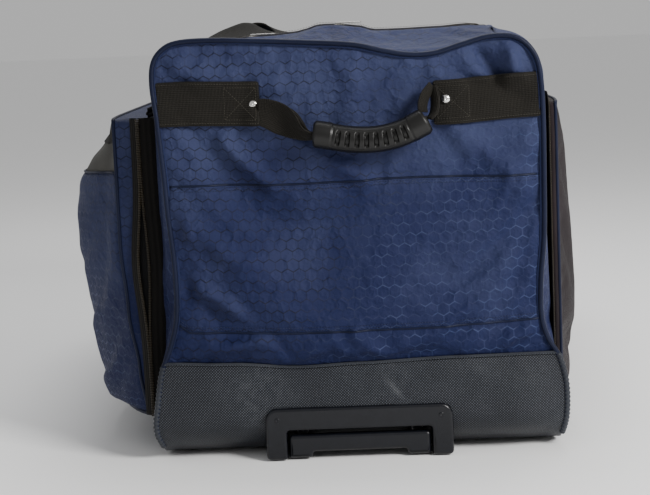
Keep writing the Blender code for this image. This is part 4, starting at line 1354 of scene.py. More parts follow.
    def seams(self) -> None:
        """Sews the overlay's welts and double rows of stitches on the front."""
        surface = self.surfaces[End.FRONT]
        threads = ThreadWork("overlay_seam_stitches")
        out = FORWARD
        for high in (True, False):
            side = 1 if high else -1
            line = [
                surface.front(self.lines.middle_x + x, self.seam_height(x, high), -0.0002)
                for x in [-0.2035 + 0.415 * k / 120 for k in range(121)]
            ]
            welt = tube(f"overlay_welt_{'high' if high else 'low'}", line, 0.0014, 6)
            WARDROBE.dress(welt, "piping", "navy_fabric", "bag")
            for row in (0.0028, 0.0062):
                run = [surface.front(p.x, p.z - side * row, 0.0001) for p in line]
                threads.run(run, out, 0.0033)
        WARDROBE.dress(threads.finish(), "thread", "navy_fabric", "bag")

    def strap_patch(
        self, name: str, x0: float, x1: float, end: End, heights: tuple[float, float], *nodes: str
    ) -> Grid:
        """Lays one sewn strap on an end panel.

        Args:
            name: The new piece's name.
            x0: Its left edge.
            x1: Its right edge.
            end: The end it is on.
            heights: The heights of its middle at its left and right edges.
            nodes: The CAD nodes it replaces.

        Returns:
            The rows of its middle surface.
        """
        surface = self.surfaces[end]
        rows, cols = 10, max(6, round((x1 - x0) / 0.005))

        def point(j: int, i: int) -> Vector:
            t = i / cols
            x = x0 + (x1 - x0) * t
            z = heights[0] + (heights[1] - heights[0]) * t + (j / rows - 0.5) * self.strap_width
            z += 0.0012 * math.sin(31 * x + 1.3)
            hits = [
                abs(surface.front(self.lines.middle_x + x + dx, z + dz, 0.0, end.value).y)
                for dx in (-0.006, 0, 0.006)
                for dz in (-0.004, 0, 0.004)
            ]
            y = end.value * (max([h for h in hits if h < 0.6] or [self.lines.end_y]) + 0.0014)
            return self.lines.at(x, y, z)

        grid = lay(rows, cols, point)
        obj = grid_piece(
            name, grid, lambda j, i: ((j / rows - 0.5) * self.strap_width, (x1 - x0) * i / cols),
            flip=end is End.REAR,
        )
        thicken(obj, WEBBING, 1, 0.0)
        WARDROBE.dress(obj, "webbing", "webbing", "bag", *nodes)
        return grid

    def straps(self) -> None:
        """Lays the end straps with their box-and-cross stitching and rivets."""
        threads = ThreadWork("strap_stitches", 0.0009)
        specs = (
            (
                "front_strap_left_webbing", -0.2145, -self.strap_end, End.FRONT, (0.4113, 0.4111),
                "front_strap_left",
            ),
            (
                "front_strap_right_webbing", self.strap_end, 0.218, End.FRONT, (0.4035, 0.4065),
                "front_strap_right",
            ),
            ("rear_strap_webbing", -0.219, 0.219, End.REAR, (0.4085, 0.4085), "rear_strap"),
        )
        for name, x0, x1, end, heights, node in specs:
            right = name == "front_strap_right_webbing"
            grid = self.strap_patch(name, x0, x1, end, heights, node)
            inner = len(grid[0]) - 1
            boxes = [(0, True)] if right else [(inner, False)]
            if end is End.REAR:
                boxes = [(inner // 2 + 9, True), (inner // 2 - 9, False)]
            out = Vector((0, end.value, 0))
            for column, forward in boxes:
                self.box_stitch(threads, grid, column, forward, out)
            for j in (0.06, 0.94):
                row = [self.on(grid, j, i / 60) + out * 0.0011 for i in range(61)]
                threads.run(row, out, STITCH)
        WARDROBE.dress(threads.finish(), "dark_thread", "webbing", "bag")
        for side, (x, z) in zip(Side, self.rivets):
            surface = self.surfaces[End.FRONT]
            seat = surface.front(self.lines.middle_x + x, z, 0.004)
            dome = [
                (0.0001, 0.0033), (0.0018, 0.0032), (0.0033, 0.0026), (0.0045, 0.0017), (0.0051, 0.0006),
                (0.0052, -0.0006), (0.0001, -0.0006),
            ]
            rivet = lathe(f"front_rivet_{side.label}_dome", dome, seat, FORWARD, 32)
            WARDROBE.dress(rivet, "steel", "steel", "bag", f"front_rivet_{side.label}")

    @staticmethod
    def on(grid: Grid, v: float, u: float) -> Vector:
        """Returns a point of a grid by its shares of the way up and along."""
        j, i = v * (len(grid) - 1), u * (len(grid[0]) - 1)
        j0, i0 = min(int(j), len(grid) - 2), min(int(i), len(grid[0]) - 2)
        low = grid[j0][i0].lerp(grid[j0][i0 + 1], i - i0)
        return low.lerp(grid[j0 + 1][i0].lerp(grid[j0 + 1][i0 + 1], i - i0), j - j0)

    def box_stitch(self, threads: ThreadWork, grid: Grid, column: int, forward: bool, out: Vector) -> None:
        """Sews a box with a cross in it at a strap's end."""
        last = len(grid[0]) - 1
        step = (grid[0][-1] - grid[0][0]).length / last
        reach = 0.036 / step / last
        near = column / last + (0.004 / step / last) * (1 if forward else -1)
        far = near + reach * (1 if forward else -1)
        corners = [(0.14, near), (0.14, far), (0.86, far), (0.86, near)]
        runs = list(zip(corners, corners[1:] + corners[:1])) + [
            (corners[0], corners[2]), (corners[1], corners[3])
        ]
        for (v0, u0), (v1, u1) in runs:
            line = []
            for k in range(13):
                u = max(0.0, min(1.0, u0 + (u1 - u0) * k / 12))
                line.append(self.on(grid, v0 + (v1 - v0) * k / 12, u) + out * 0.0012)
            threads.run(line, out, STITCH)

    def piping(self) -> None:
        """Runs the covered piping round both ends, with its seam allowance."""
        for end, ring in ((End.FRONT, self.lines.front_ring()), (End.REAR, self.lines.rear_ring())):
            path = spaced([p + Vector((0, end.value * 0.0022, 0)) for p in ring], 420)
            welt = tube(f"piping_{end.label}_welt", path, 0.0029, 10)
            WARDROBE.dress(welt, "piping", "piping", "bag", f"piping_{end.label}")
            allowance = []
            for p in spaced(ring, 300):
                inward = Vector((self.lines.middle_x - p.x, 0, 0.26 - p.z)).normalized()
                allowance.append(
                    [
                        p + Vector((0, end.value * 0.001, 0)),
                        p + inward * 0.005 + Vector((0, end.value * 0.0024, 0)),
                    ]
                )
            flange = grid_piece(f"piping_{end.label}_flange", allowance)
            thicken(flange, 0.0009, 0, 0.0)
            WARDROBE.dress(flange, "navy_plain", "piping", "bag")

    def build(self) -> None:
        """Builds both ends."""
        for end in End:
            self.panel(end)
        self.seams()
        self.straps()
        self.piping()


@dataclass
class BodyWrap:
    """The sides that roll over into the top, the top strips and the lid with its zip."""

    lines: BagLines
    mouth_half: float = 0.169
    tape: float = 0.0115
    mouth_front: float = -0.3845
    mouth_rear: float = 0.3822
    corner: float = 0.05
    lid_top: float = 0.4735
    # How far the zip rises over the front of the top, by the place across the bag.
    zip_wave: tuple = (
        (-0.169, 0.0), (-0.135, 0.005), (-0.11, 0.01), (-0.0857, 0.0105), (-0.0566, 0.0125), (-0.0426, 0.0155),
        (-0.0297, 0.0199), (-0.0094, 0.0198), (0.0187, 0.0165), (0.0337, 0.0115), (0.06, 0.0112), (
            0.1056, 0.0118
        ),
        (0.139, 0.0131), (0.169, 0.0115),
    )
    shoulder_bulge: float = 0.01
    cloth: float = 0.0018
    surface: Surface | None = None

    def rings(self) -> tuple[list[Vector], list[Vector]]:
        """Returns both rings from hem to hem, with matching points."""
        out = []
        for ring in (self.lines.front_ring(), self.lines.rear_ring()):
            half = len(ring) // 2
            a = nearest_index(ring[:half], lambda p: abs(p.z - self.lines.hem_z - 0.002))
            b = half + nearest_index(ring[half:], lambda p: abs(p.z - self.lines.hem_z - 0.002))
            out.append(ring[a : b + 1])
        return out[0], out[1]

    def side_curve(self, ring: list[Vector], side: Side, count: int) -> list[Vector]:
        """Returns the part of a ring from the hem up one side to the mouth's edge."""
        ring = ring if side is Side.LEFT else ring[::-1]
        edge = self.lines.middle_x + side.value * (self.mouth_half + 0.0005)
        stop = next(i for i, p in enumerate(ring) if (p.x - edge) * side.value < 0 and p.z > 0.4)
        return spaced(ring[: stop + 1], count)

    @staticmethod
    def ease(t: float) -> float:
        """Returns a share smoothed at both ends."""
        t = max(0.0, min(1.0, t))
        return t * t * (3 - 2 * t)

    def section(self, side: Side, count: int) -> list[Vector]:
        """Returns the bag's full section up one side and over the shoulder to the mouth."""
        half, shoulder = self.lines.half_width - 0.0012, self.corner
        top = self.lid_top - 0.0025
        points = [(half, self.lines.hem_z + 0.002), (half, 0.22), (half, 0.33)]
        for k in range(13):
            a = math.radians(7.5 * k)
            points.append((half - shoulder + shoulder * math.cos(a), top - shoulder + shoulder * math.sin(a)))
        points.append((self.mouth_half + 0.0005, top))
        return spaced([self.lines.at(side.value * x, 0.0, z) for x, z in points], count)

    def side(self, side: Side) -> bpy.types.Object:
        """Builds, settles and dresses one side with its shoulder."""
        count, steps = 40, 84
        front, rear = (self.side_curve(ring, side, count) for ring in self.rings())
        section = self.section(side, count)
        grid = []
        for j in range(steps + 1):
            share = (j / steps) ** 1.35
            row = []
            for a, b, c in zip(front, rear, section):
                y = a.y + (b.y - a.y) * share
                at_front = self.ease(1 - (y - a.y) / 0.048)
                at_rear = self.ease(1 - (b.y - y) / 0.06)
                p = c.lerp(a, at_front).lerp(b, at_rear)
                p.y = y
                free = (1 - at_front) * (1 - at_rear)
                p.x += side.value * 0.0022 * free * lumps(p, 0.1, 2.3 * side.value)
                p.x += side.value * 0.0035 * free * creases(p, 0.06, 4.0)
                high = self.ease((p.z - 0.4) / 0.06)
                p.z += high * free * self.front_swell(y) * piecewise(
                    self.zip_wave, side.value * self.mouth_half
                )
                if side is Side.RIGHT:
                    full = hump(y + 0.31, 0.075) * hump(p.z - 0.43, 0.028)
                    p.x += self.shoulder_bulge * full
                row.append(p)
            row[-1].x = section[-1].x
            grid.append(row)
        obj = grid_piece(f"side_{side.label}_cloth", grid, flip=side is Side.LEFT)
        ClothSettler(spare=0.006, pressure=0.1, gravity=0.4, most=0.004).settle(
            obj, border(steps + 1, count + 1)
        )
        sew(obj, self.cloth, "navy", "navy_fabric", "bag", f"side_wrap_{side.label}")
        return obj

    def top_line(self, y: float) -> float:
        """Returns the height of the top's middle at a place along the bag."""
        return self.lid_top + piecewise(
            ((-0.385, 0.0), (-0.3, 0.003), (-0.1, -0.002), (0.2, -0.004), (0.385, 0.0)), y
        )

    @staticmethod
    def front_swell(y: float) -> float:
        """Returns how much of the front's fullness the top has at a place along the bag."""
        return math.exp(-((max(0.0, y + 0.365) / 0.06) ** 2))

    def zip_height(self, p: Vector) -> float:
        """Returns the height of the zip at a place on its run."""
        wave = piecewise(self.zip_wave, p.x - self.lines.middle_x)
        return self.top_line(p.y) + self.front_swell(p.y) * wave

    def mouth(self, inset: float, count: int = 260) -> list[Vector]:
        """Returns the zip's U at an inset from the mouth's edge, on the top's surface."""
        half, front, radius = self.mouth_half - 0.0005 - inset, self.mouth_front + inset, self.corner - inset
        outline = fillet(
            [
                (-half, self.mouth_rear, 0), (-half, front, radius), (half, front, radius),
                (half, self.mouth_rear, 0),
            ],
            12,
        )
        flat = spaced([self.lines.at(x, y, 0.0) for x, y in outline], count)
        for p in flat:
            p.z = self.zip_height(p)
        return flat

    def top_of(self, ring: list[Vector], half: float, count: int) -> list[Vector]:
        """Returns the part of a ring that lies over the mouth, half to either side of the middle."""
        start = next(i for i, p in enumerate(ring) if p.x > self.lines.middle_x - half and p.z > 0.4)
        stop = max(i for i, p in enumerate(ring) if p.x < self.lines.middle_x + half and p.z > 0.4)
        return spaced(ring[start : stop + 1], count)

    def strips(self) -> None:
        """Builds the cloth strips in front of and behind the lid."""
        count, steps = 60, 14
        lap = 0.005
        half = self.mouth_half + lap
        outer = self.top_of(self.rings()[0], half, count)
        path = self.mouth(-0.0006, 900)
        arc_start = next(i for i, p in enumerate(path) if p.y < self.mouth_front + self.corner)
        inner = spaced(path[arc_start : len(path) - arc_start], count)
        grid = []
        for j in range(steps + 1):
            v = j / steps
            row = [a.lerp(b, v) for a, b in zip(outer, inner)]
            row[0].x -= lap * v
            row[-1].x += lap * v
            for k in (0, 1, count - 1, count):
                row[k].z += 0.0012 * min(1.0, 8 * v)
            for i, p in enumerate(row):
                edge = math.sin(math.pi * v) * min(1.0, min(i, count - i) / 6)
                p.z += edge * (0.0045 + 0.0035 * lumps(p, 0.05, 5.2))
            grid.append(row)
        obj = grid_piece(
            "top_front_cloth", grid, lambda j,
            i: (grid[j][i].x - self.lines.middle_x, grid[j][i].y * 0.98 + 0.9),
        )
        ClothSettler(spare=0.015, pressure=0.3, gravity=0.3, most=0.01).settle(
            obj, border(steps + 1, count + 1)
        )
        sew(obj, self.cloth, "navy", "navy_fabric", "bag", "top_strip_front")

        outer = self.top_of(self.rings()[1], half, 40)

        def rear_point(j: int, i: int) -> Vector:
            mouth = self.lines.at(-half + 2 * half * i / 40, self.mouth_rear + 0.0035, self.lid_top - 0.0012)
            p = mouth.lerp(outer[i], j / 8)
            p.z += 0.0025 * math.sin(math.pi * j / 8) * (1 + lumps(p, 0.06, 1.7))
            return p

        rear = grid_piece("top_rear_cloth", lay(8, 40, rear_point))
        sew(rear, self.cloth, "navy", "navy_fabric", "bag", "top_strip_rear")

    def lid(self) -> bpy.types.Object:
        """Builds, settles and dresses the lid."""
        inset = 2 * self.tape - 0.003
        rim = self.mouth(inset, 240)
        front = [p for p in rim if p.y < self.mouth_front + self.corner]
        half = self.mouth_half - 0.0005 - inset
        count, steps = 30, 74
        front = spaced(front, count)
        grid = []
        rear_y = self.mouth_rear + 0.0024
        for j in range(steps + 1):
            v = j / steps
            row = []
            for i in range(count + 1):
                straight = self.lines.at(-half + 2 * half * i / count, rear_y, self.lid_top - 0.0008)
                p = front[i].lerp(straight, v)
                p.z = self.zip_height(p) if v < 0.02 or i in (0, count) else self.top_line(p.y)
                p.z += 0.0014
                inner = min(1.0, min(i, count - i, j, steps - j) / 5)
                if v >= 0.02 and i not in (0, count):
                    near = max(0.0, 1 - v / 0.1)
                    p.z += piecewise(self.zip_wave, p.x - self.lines.middle_x) * near * near
                p.z += inner * (-0.0035 + 0.0028 * lumps(p, 0.1, 4.4) + 0.003 * creases(p, 0.07, 2.2))
                row.append(p)
            grid.append(row)
        for p in grid[-1]:
            p.z = self.lid_top - 0.0008
        obj = grid_piece("lid_cloth", grid)
        ClothSettler(spare=0.008, pressure=0.12, gravity=0.5, most=0.008).settle(
            obj, border(steps + 1, count + 1)
        )
        sew(obj, self.cloth, "navy", "navy_fabric", "lid", "lid_panel")
        return obj

    def zip(self) -> None:
        """Builds the main zip: two tapes, the coil, and their stitching."""
        up = Vector((0, 0, 1))
        for name, first, last, body in (
            ("main_zip_tape_outer_weave", 0.0, self.tape, "bag"),
            ("main_zip_tape_inner_weave", self.tape + 0.0005, 2 * self.tape + 0.0005, "lid"),
        ):
            shares = (0.0, 0.33, 0.66, 1.0)
            columns = [self.mouth(first + (last - first) * s) for s in shares]
            grid = [[columns[k][j] + up * 0.0004 for k in range(len(shares))] for j in range(len(columns[0]))]
            run = curve_length(columns[0]) / (len(grid) - 1)
            tape = grid_piece(name, grid, lambda j, i: (self.tape * i / 3, run * j), flip=True)
            thicken(tape, 0.0009, 0)
            node = name.replace("_weave", "")
            WARDROBE.dress(tape, "tape", "zip_tape", body, node)
        for body, shift in (("bag", -0.0011), ("lid", 0.0011)):
            path = [p + up * 0.0007 for p in self.mouth(self.tape + 0.00025 + shift)]
            coil = zip_teeth(f"main_zip_coil_{body}", path, [up] * len(path), 0.0019, 0.003)
            WARDROBE.dress(coil, "coil", "zip_tape", body)
        for body, inset, lift in (("bag", 0.0022, 0.0008), ("lid", 2 * self.tape - 0.0016, 0.0026)):
            threads = ThreadWork(f"main_zip_stitches_{body}")
            threads.run([p + up * lift for p in self.mouth(inset, 420)], up, 0.0034)
            WARDROBE.dress(threads.finish(), "dark_thread", "zip_tape", body)

    def build(self) -> None:
        """Builds the whole wrap."""
        sides = [self.side(side) for side in Side]
        self.strips()
        lid = self.lid()
        self.zip()
        bpy.context.view_layer.update()
        self.surface = Surface(*sides, lid)


@dataclass
class SliderSet:
    """The zip sliders with their pull tabs."""

    wrap: BodyWrap
    coil_y: float = -0.37275

    @staticmethod
    def slider(
        name: str, centre: Vector, along: Vector, out: Vector, bodies: tuple[str, str], nodes: tuple[str, str],
        lie: float = 0.0,
    ) -> None:
        """Builds one slider: a two-plate carriage with a bridge, and a pull tab.

        Args:
            name: The slider's name.
            centre: The middle of its top plate.
            along: The way its tab points.
            out: The way away from the tape.
            bodies: The slider's and the tab's bodies.
            nodes: The CAD nodes that they replace.
            lie: How far the tab leans up from the tape, in radians.
        """
        side = out.cross(along).normalized()

        def solid(outline: Sequence[tuple[float, float]], low: float, high: float, lean: float = 0.0) -> tuple[
            list[Vector], list[tuple[int, ...]]
        ]:
            ahead = along * math.cos(lean) + out * math.sin(lean)
            raised = out * math.cos(lean) - along * math.sin(lean)
            count = len(outline)
            verts = [centre + ahead * x + side * y + raised * h for h in (low, high) for x, y in outline]
            faces = [tuple(range(count))[::-1], tuple(range(count, 2 * count))]
            faces += [(k, (k + 1) % count, count + (k + 1) % count, count + k) for k in range(count)]
            return verts, faces

        body_outline = fillet(
            [
                (-0.0062, -0.0042, 0.0018), (0.0062, -0.003, 0.0018), (0.0062, 0.003, 0.0018),
                (-0.0062, 0.0042, 0.0018),
            ],
            4,
        )
        verts, faces = [], []
        bridge = fillet(
            [
                (-0.0042, -0.0012, 0.0006), (0.0042, -0.0012, 0.0006), (0.0042, 0.0012, 0.0006),
                (-0.0042, 0.0012, 0.0006),
            ],
            3,
        )
        for outline, low, high in (
            (body_outline, -0.003, -0.002), (body_outline, -0.0002, 0.001), (bridge, 0.001, 0.0036)
        ):
            more, extra = solid(outline, low, high)
            faces += [tuple(len(verts) + k for k in face) for face in extra]
            verts += more
        carriage = mesh_piece(f"{name}_carriage", verts, faces, smooth=False)
        edges = carriage.modifiers.new("rounded edges", "BEVEL")
        edges.width, edges.segments = 0.0003, 2
        WARDROBE.dress(carriage, "steel", "steel", bodies[0], nodes[0])
        tab_outline = fillet(
            [
                (-0.0005, -0.003, 0.0006), (0.0255, -0.0044, 0.0032), (0.0255, 0.0044, 0.0032),
                (-0.0005, 0.003, 0.0006),
            ],
            5,
        )
        verts, faces = solid(tab_outline, 0.0024, 0.0036, lie)
        tab = mesh_piece(f"{name}_tab", verts, faces, smooth=False)
        edges = tab.modifiers.new("rounded edges", "BEVEL")
        edges.width, edges.segments = 0.00035, 2
        WARDROBE.dress(tab, "steel", "steel", bodies[1], nodes[1])

    def build(self) -> None:
        """Builds the main zip's two sliders."""
        for letter, x in (("a", -0.105), ("b", -0.005)):
            spot = self.wrap.lines.at(x, self.coil_y, 0.0)
            spot.z = self.wrap.zip_height(spot) - 0.0004
            name = f"main_slider_{letter}"
            tab = f"main_pull_tab_{letter}"
            self.slider(name, spot, ACROSS, UP, (name, tab), (name, tab))


@dataclass
class ToughBase:
    """The embossed base: the front roll with its hem, the sides, the rear and the floor."""

    lines: BagLines
    opening_half: float = 0.1035
    opening_top: float = 0.056
    cloth: float = 0.002

    def profile(self, t: float, hem_z: float, bulge: float) -> tuple[float, float]:
        """Returns (depth back from the end, height) at a share of the way from the hem under the roll."""
        drop = hem_z - self.lines.floor_z - self.lines.roll
        arc = self.lines.roll * math.pi / 2
        s = t * (drop + arc)
        if s < drop:
            z = hem_z - s
            return -bulge * math.sin(math.pi * min(1.0, s / (drop + 0.6 * arc))) ** 0.8, z
        a = (s - drop) / self.lines.roll
        out = bulge * math.sin(
            math.pi * min(1.0, s / (drop + 0.6 * arc))
        ) ** 0.8 if s < drop + 0.6 * arc else 0.0
        back = self.lines.roll - self.lines.roll * math.cos(a) - out
        return back, self.lines.floor_z + self.lines.roll - self.lines.roll * math.sin(a)

    def edge_x(self, z: float, side: Side) -> float:
        """Returns where the front ring stands at a height."""
        half = self.lines.ring[: len(self.lines.ring) // 2] if side is Side.LEFT else self.lines.ring[
            len(self.lines.ring) // 2 :
        ][::-1]
        return piecewise([(point[1], point[0]) for point in half if point[1] < 0.2], z)

    def front(self) -> None:
        """Builds the front panel of the base, open where the pull handle's housing sits."""
        cols, rows = 132, 36
        knots = list(self.lines.hem)
        grid = []
        for j in range(rows + 1):
            t = j / rows
            row = []
            for i in range(cols + 1):
                u = i / cols
                x = -0.22 + 0.4495 * u
                hem = piecewise(knots, x)
                pinned = math.sin(min(1.0, min(i, cols - i) / 18) * math.pi / 2)
                depth, z = self.profile(t, hem, (0.006 + 0.006 * u) * pinned)
                left, right = self.edge_x(z, Side.LEFT), self.edge_x(z, Side.RIGHT)
                x = left + (right - left) * u
                p = self.lines.at(x, -self.lines.end_y + depth, z)
                inside = min(1.0, min(i, cols - i) / 8) * min(1.0, j / 5)
                p.y += inside * 0.0022 * lumps(p, 0.055, 9.3)
                crease = hump((x - 0.048) * 0.8 + (z - 0.078) * 0.6, 0.005) * hump(z - 0.078, 0.016)
                p.y += 0.003 * crease * inside
                row.append(p)
            grid.append(row)
        run = [0.0]
        middle = cols // 2
        for j in range(rows):
            run.append(run[-1] - (grid[j + 1][middle] - grid[j][middle]).length)
        obj = grid_piece(
            "base_front_cloth", grid, lambda j, i: (grid[j][i].x - self.lines.middle_x, run[j]), flip=True
        )
        self.cut(obj, lambda c: abs(c.x - self.lines.middle_x) < self.opening_half and c.z < self.opening_top)
        sew(obj, self.cloth, "base", "base_fabric", "bag", "base_front_panel")
        hem = [p + Vector((0, -0.001, 0.0008)) for p in grid[0]]
        binding = [
            [
                p + Vector((0, 0.0012, 0.001)), p + Vector((0, -0.0004, 0.0004)),
                p + Vector((0, -0.0002, -0.0016)),
            ]
            for p in hem
        ]
        strip = grid_piece("base_hem_binding", binding)
        thicken(strip, 0.001, 1, 0.0)
        WARDROBE.dress(strip, "hem", "base_fabric", "bag")
        threads = ThreadWork("base_hem_stitches", 0.0008)
        threads.run([p + Vector((0, -0.0014, -0.0012)) for p in hem], FORWARD, 0.003)
        WARDROBE.dress(threads.finish(), "hem_thread", "base_fabric", "bag")

    def side(self, side: Side) -> None:
        """Builds one side of the base, with its ribbed edge binding at the front."""
        cols, rows = 90, 14
        grid = []
        y_end = self.lines.end_y
        for j in range(rows + 1):
            v = j / rows
            row = []
            for i in range(cols + 1):
                u = i / cols
                y = -y_end + 2 * y_end * u
                from_end = min(y + y_end, y_end - y)
                corner = max(0.0, self.lines.roll - (y + y_end)) / self.lines.roll
                floor = self.lines.floor_z + self.lines.roll * (1 - math.sqrt(max(0.0, 1 - corner * corner)))
                z = floor + (self.lines.hem_z + 0.002 - floor) * v
                start = abs(self.edge_x(z, side))
                swell = min(1.0, from_end / 0.12)
                x = start + (
                    self.lines.half_width
                    + 0.004 * math.sin(math.pi * v)
                    + 0.0025 * lumps(Vector((0, y, z)), 0.09, side.value * 1.9) - start
                ) * swell
                x += 0.01 * hump(y + 0.3, 0.13) * math.sin(math.pi * min(1, v + 0.1))
                row.append(self.lines.at(side.value * x, y, z))
            grid.append(row)
        obj = grid_piece(f"base_{side.label}_cloth", grid, flip=side is Side.LEFT)
        sew(obj, self.cloth, "base", "base_fabric", "bag", f"base_side_{side.label}")
        hem = [p + Vector((side.value * 0.0012, 0, 0.0004)) for p in grid[-1]]
        welt = tube(f"base_{side.label}_hem", spaced(hem, 160), 0.0013, 6)
        WARDROBE.dress(welt, "hem", "base_fabric", "bag")
        ring = self.lines.front_ring()
        ring = [p for p in ring if (p.x - self.lines.middle_x) * side.value > 0 and p.z < 0.112]
        path = [p + Vector((side.value * 0.0004, -0.0022, 0)) for p in spaced(ring, 84)]
        ribs = tube(f"base_{side.label}_ribbed_binding", path, 0.0031, 10, ribs=0.0007)
        WARDROBE.dress(ribs, "hem", "base_fabric", "bag")

    def rear_and_floor(self) -> None:
        """Builds the rear panel and the floor, notched round the wheel cups."""
        lo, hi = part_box("wheel_cup_left")
        notch = self.lines.middle_x - hi.x - 0.001
        outside = self.lines.middle_x - lo.x + 0.001
        cup_top = hi.z + 0.0015
        half = self.lines.half_width + 0.002
        low, high = self.lines.floor_z, self.lines.hem_z + 0.001
        rise = round((cup_top - low) / (high - low) * 15)

        def notched(i: int, cols: int) -> float:
            step = round((half - notch) / half * cols / 2)
            edges = (
                (0, -half), (1, -outside), (step, -notch), (cols - step, notch), (cols - 1, outside),
                (cols, half),
            )
            return self.stepped(edges, i)

        def rear_point(j: int, i: int) -> Vector:
            z = self.stepped(((0, low), (rise, cup_top), (15, high)), j)
            out = 0.004 * math.sin(math.pi * i / 60) * math.sin(math.pi * j / 15)
            return self.lines.at(notched(i, 60), self.lines.end_y + out, z)

        rear = grid_piece("base_rear_cloth", lay(15, 60, rear_point))
        self.cut(rear, lambda c: notch < abs(c.x - self.lines.middle_x) < outside and c.z < cup_top)
        sew(rear, self.cloth, "base", "base_fabric", "bag", "base_rear_panel", subdivide=0)
        floor_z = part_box("base_floor_panel")[0].z
        first, last, edge = self.lines.roll - self.lines.end_y, self.lines.end_y, lo.y - 0.001
        reach = round((edge - first) / (last - first) * 60)

        def floor_point(j: int, i: int) -> Vector:
            y = self.stepped(((0, first), (reach, edge), (60, last)), j)
            sag = 0.0035 * math.sin(math.pi * i / 40) * math.sin(math.pi * j / 60)
            return self.lines.at(notched(i, 40), y, floor_z - sag)

        floor = grid_piece("base_floor_cloth", lay(60, 40, floor_point), flip=True)
        self.cut(floor, lambda c: notch < abs(c.x - self.lines.middle_x) < outside and c.y > edge)
        self.cut(floor, lambda c: abs(c.x - self.lines.middle_x) < 0.106 and c.y < -0.4)
        sew(floor, self.cloth, "base", "base_fabric", "bag", "base_floor_panel", subdivide=0)

    @staticmethod
    def stepped(knots: Sequence[tuple[float, float]], x: float) -> float:
        """Reads a straight-line table of (x, value) knots at x."""
        for (x0, v0), (x1, v1) in zip(knots, knots[1:]):
            if x <= x1:
                break
        return v0 + (v1 - v0) * (x - x0) / (x1 - x0)

    @staticmethod
    def cut(obj: bpy.types.Object, test: Callable[[Vector], bool]) -> None:
        """Cuts away the faces whose middles pass a test."""
        cut_faces(obj, lambda face: test(face.calc_center_median()))

    def build(self) -> None:
        """Builds the whole base."""
        self.front()
        for side in Side:
            self.side(side)
        self.rear_and_floor()


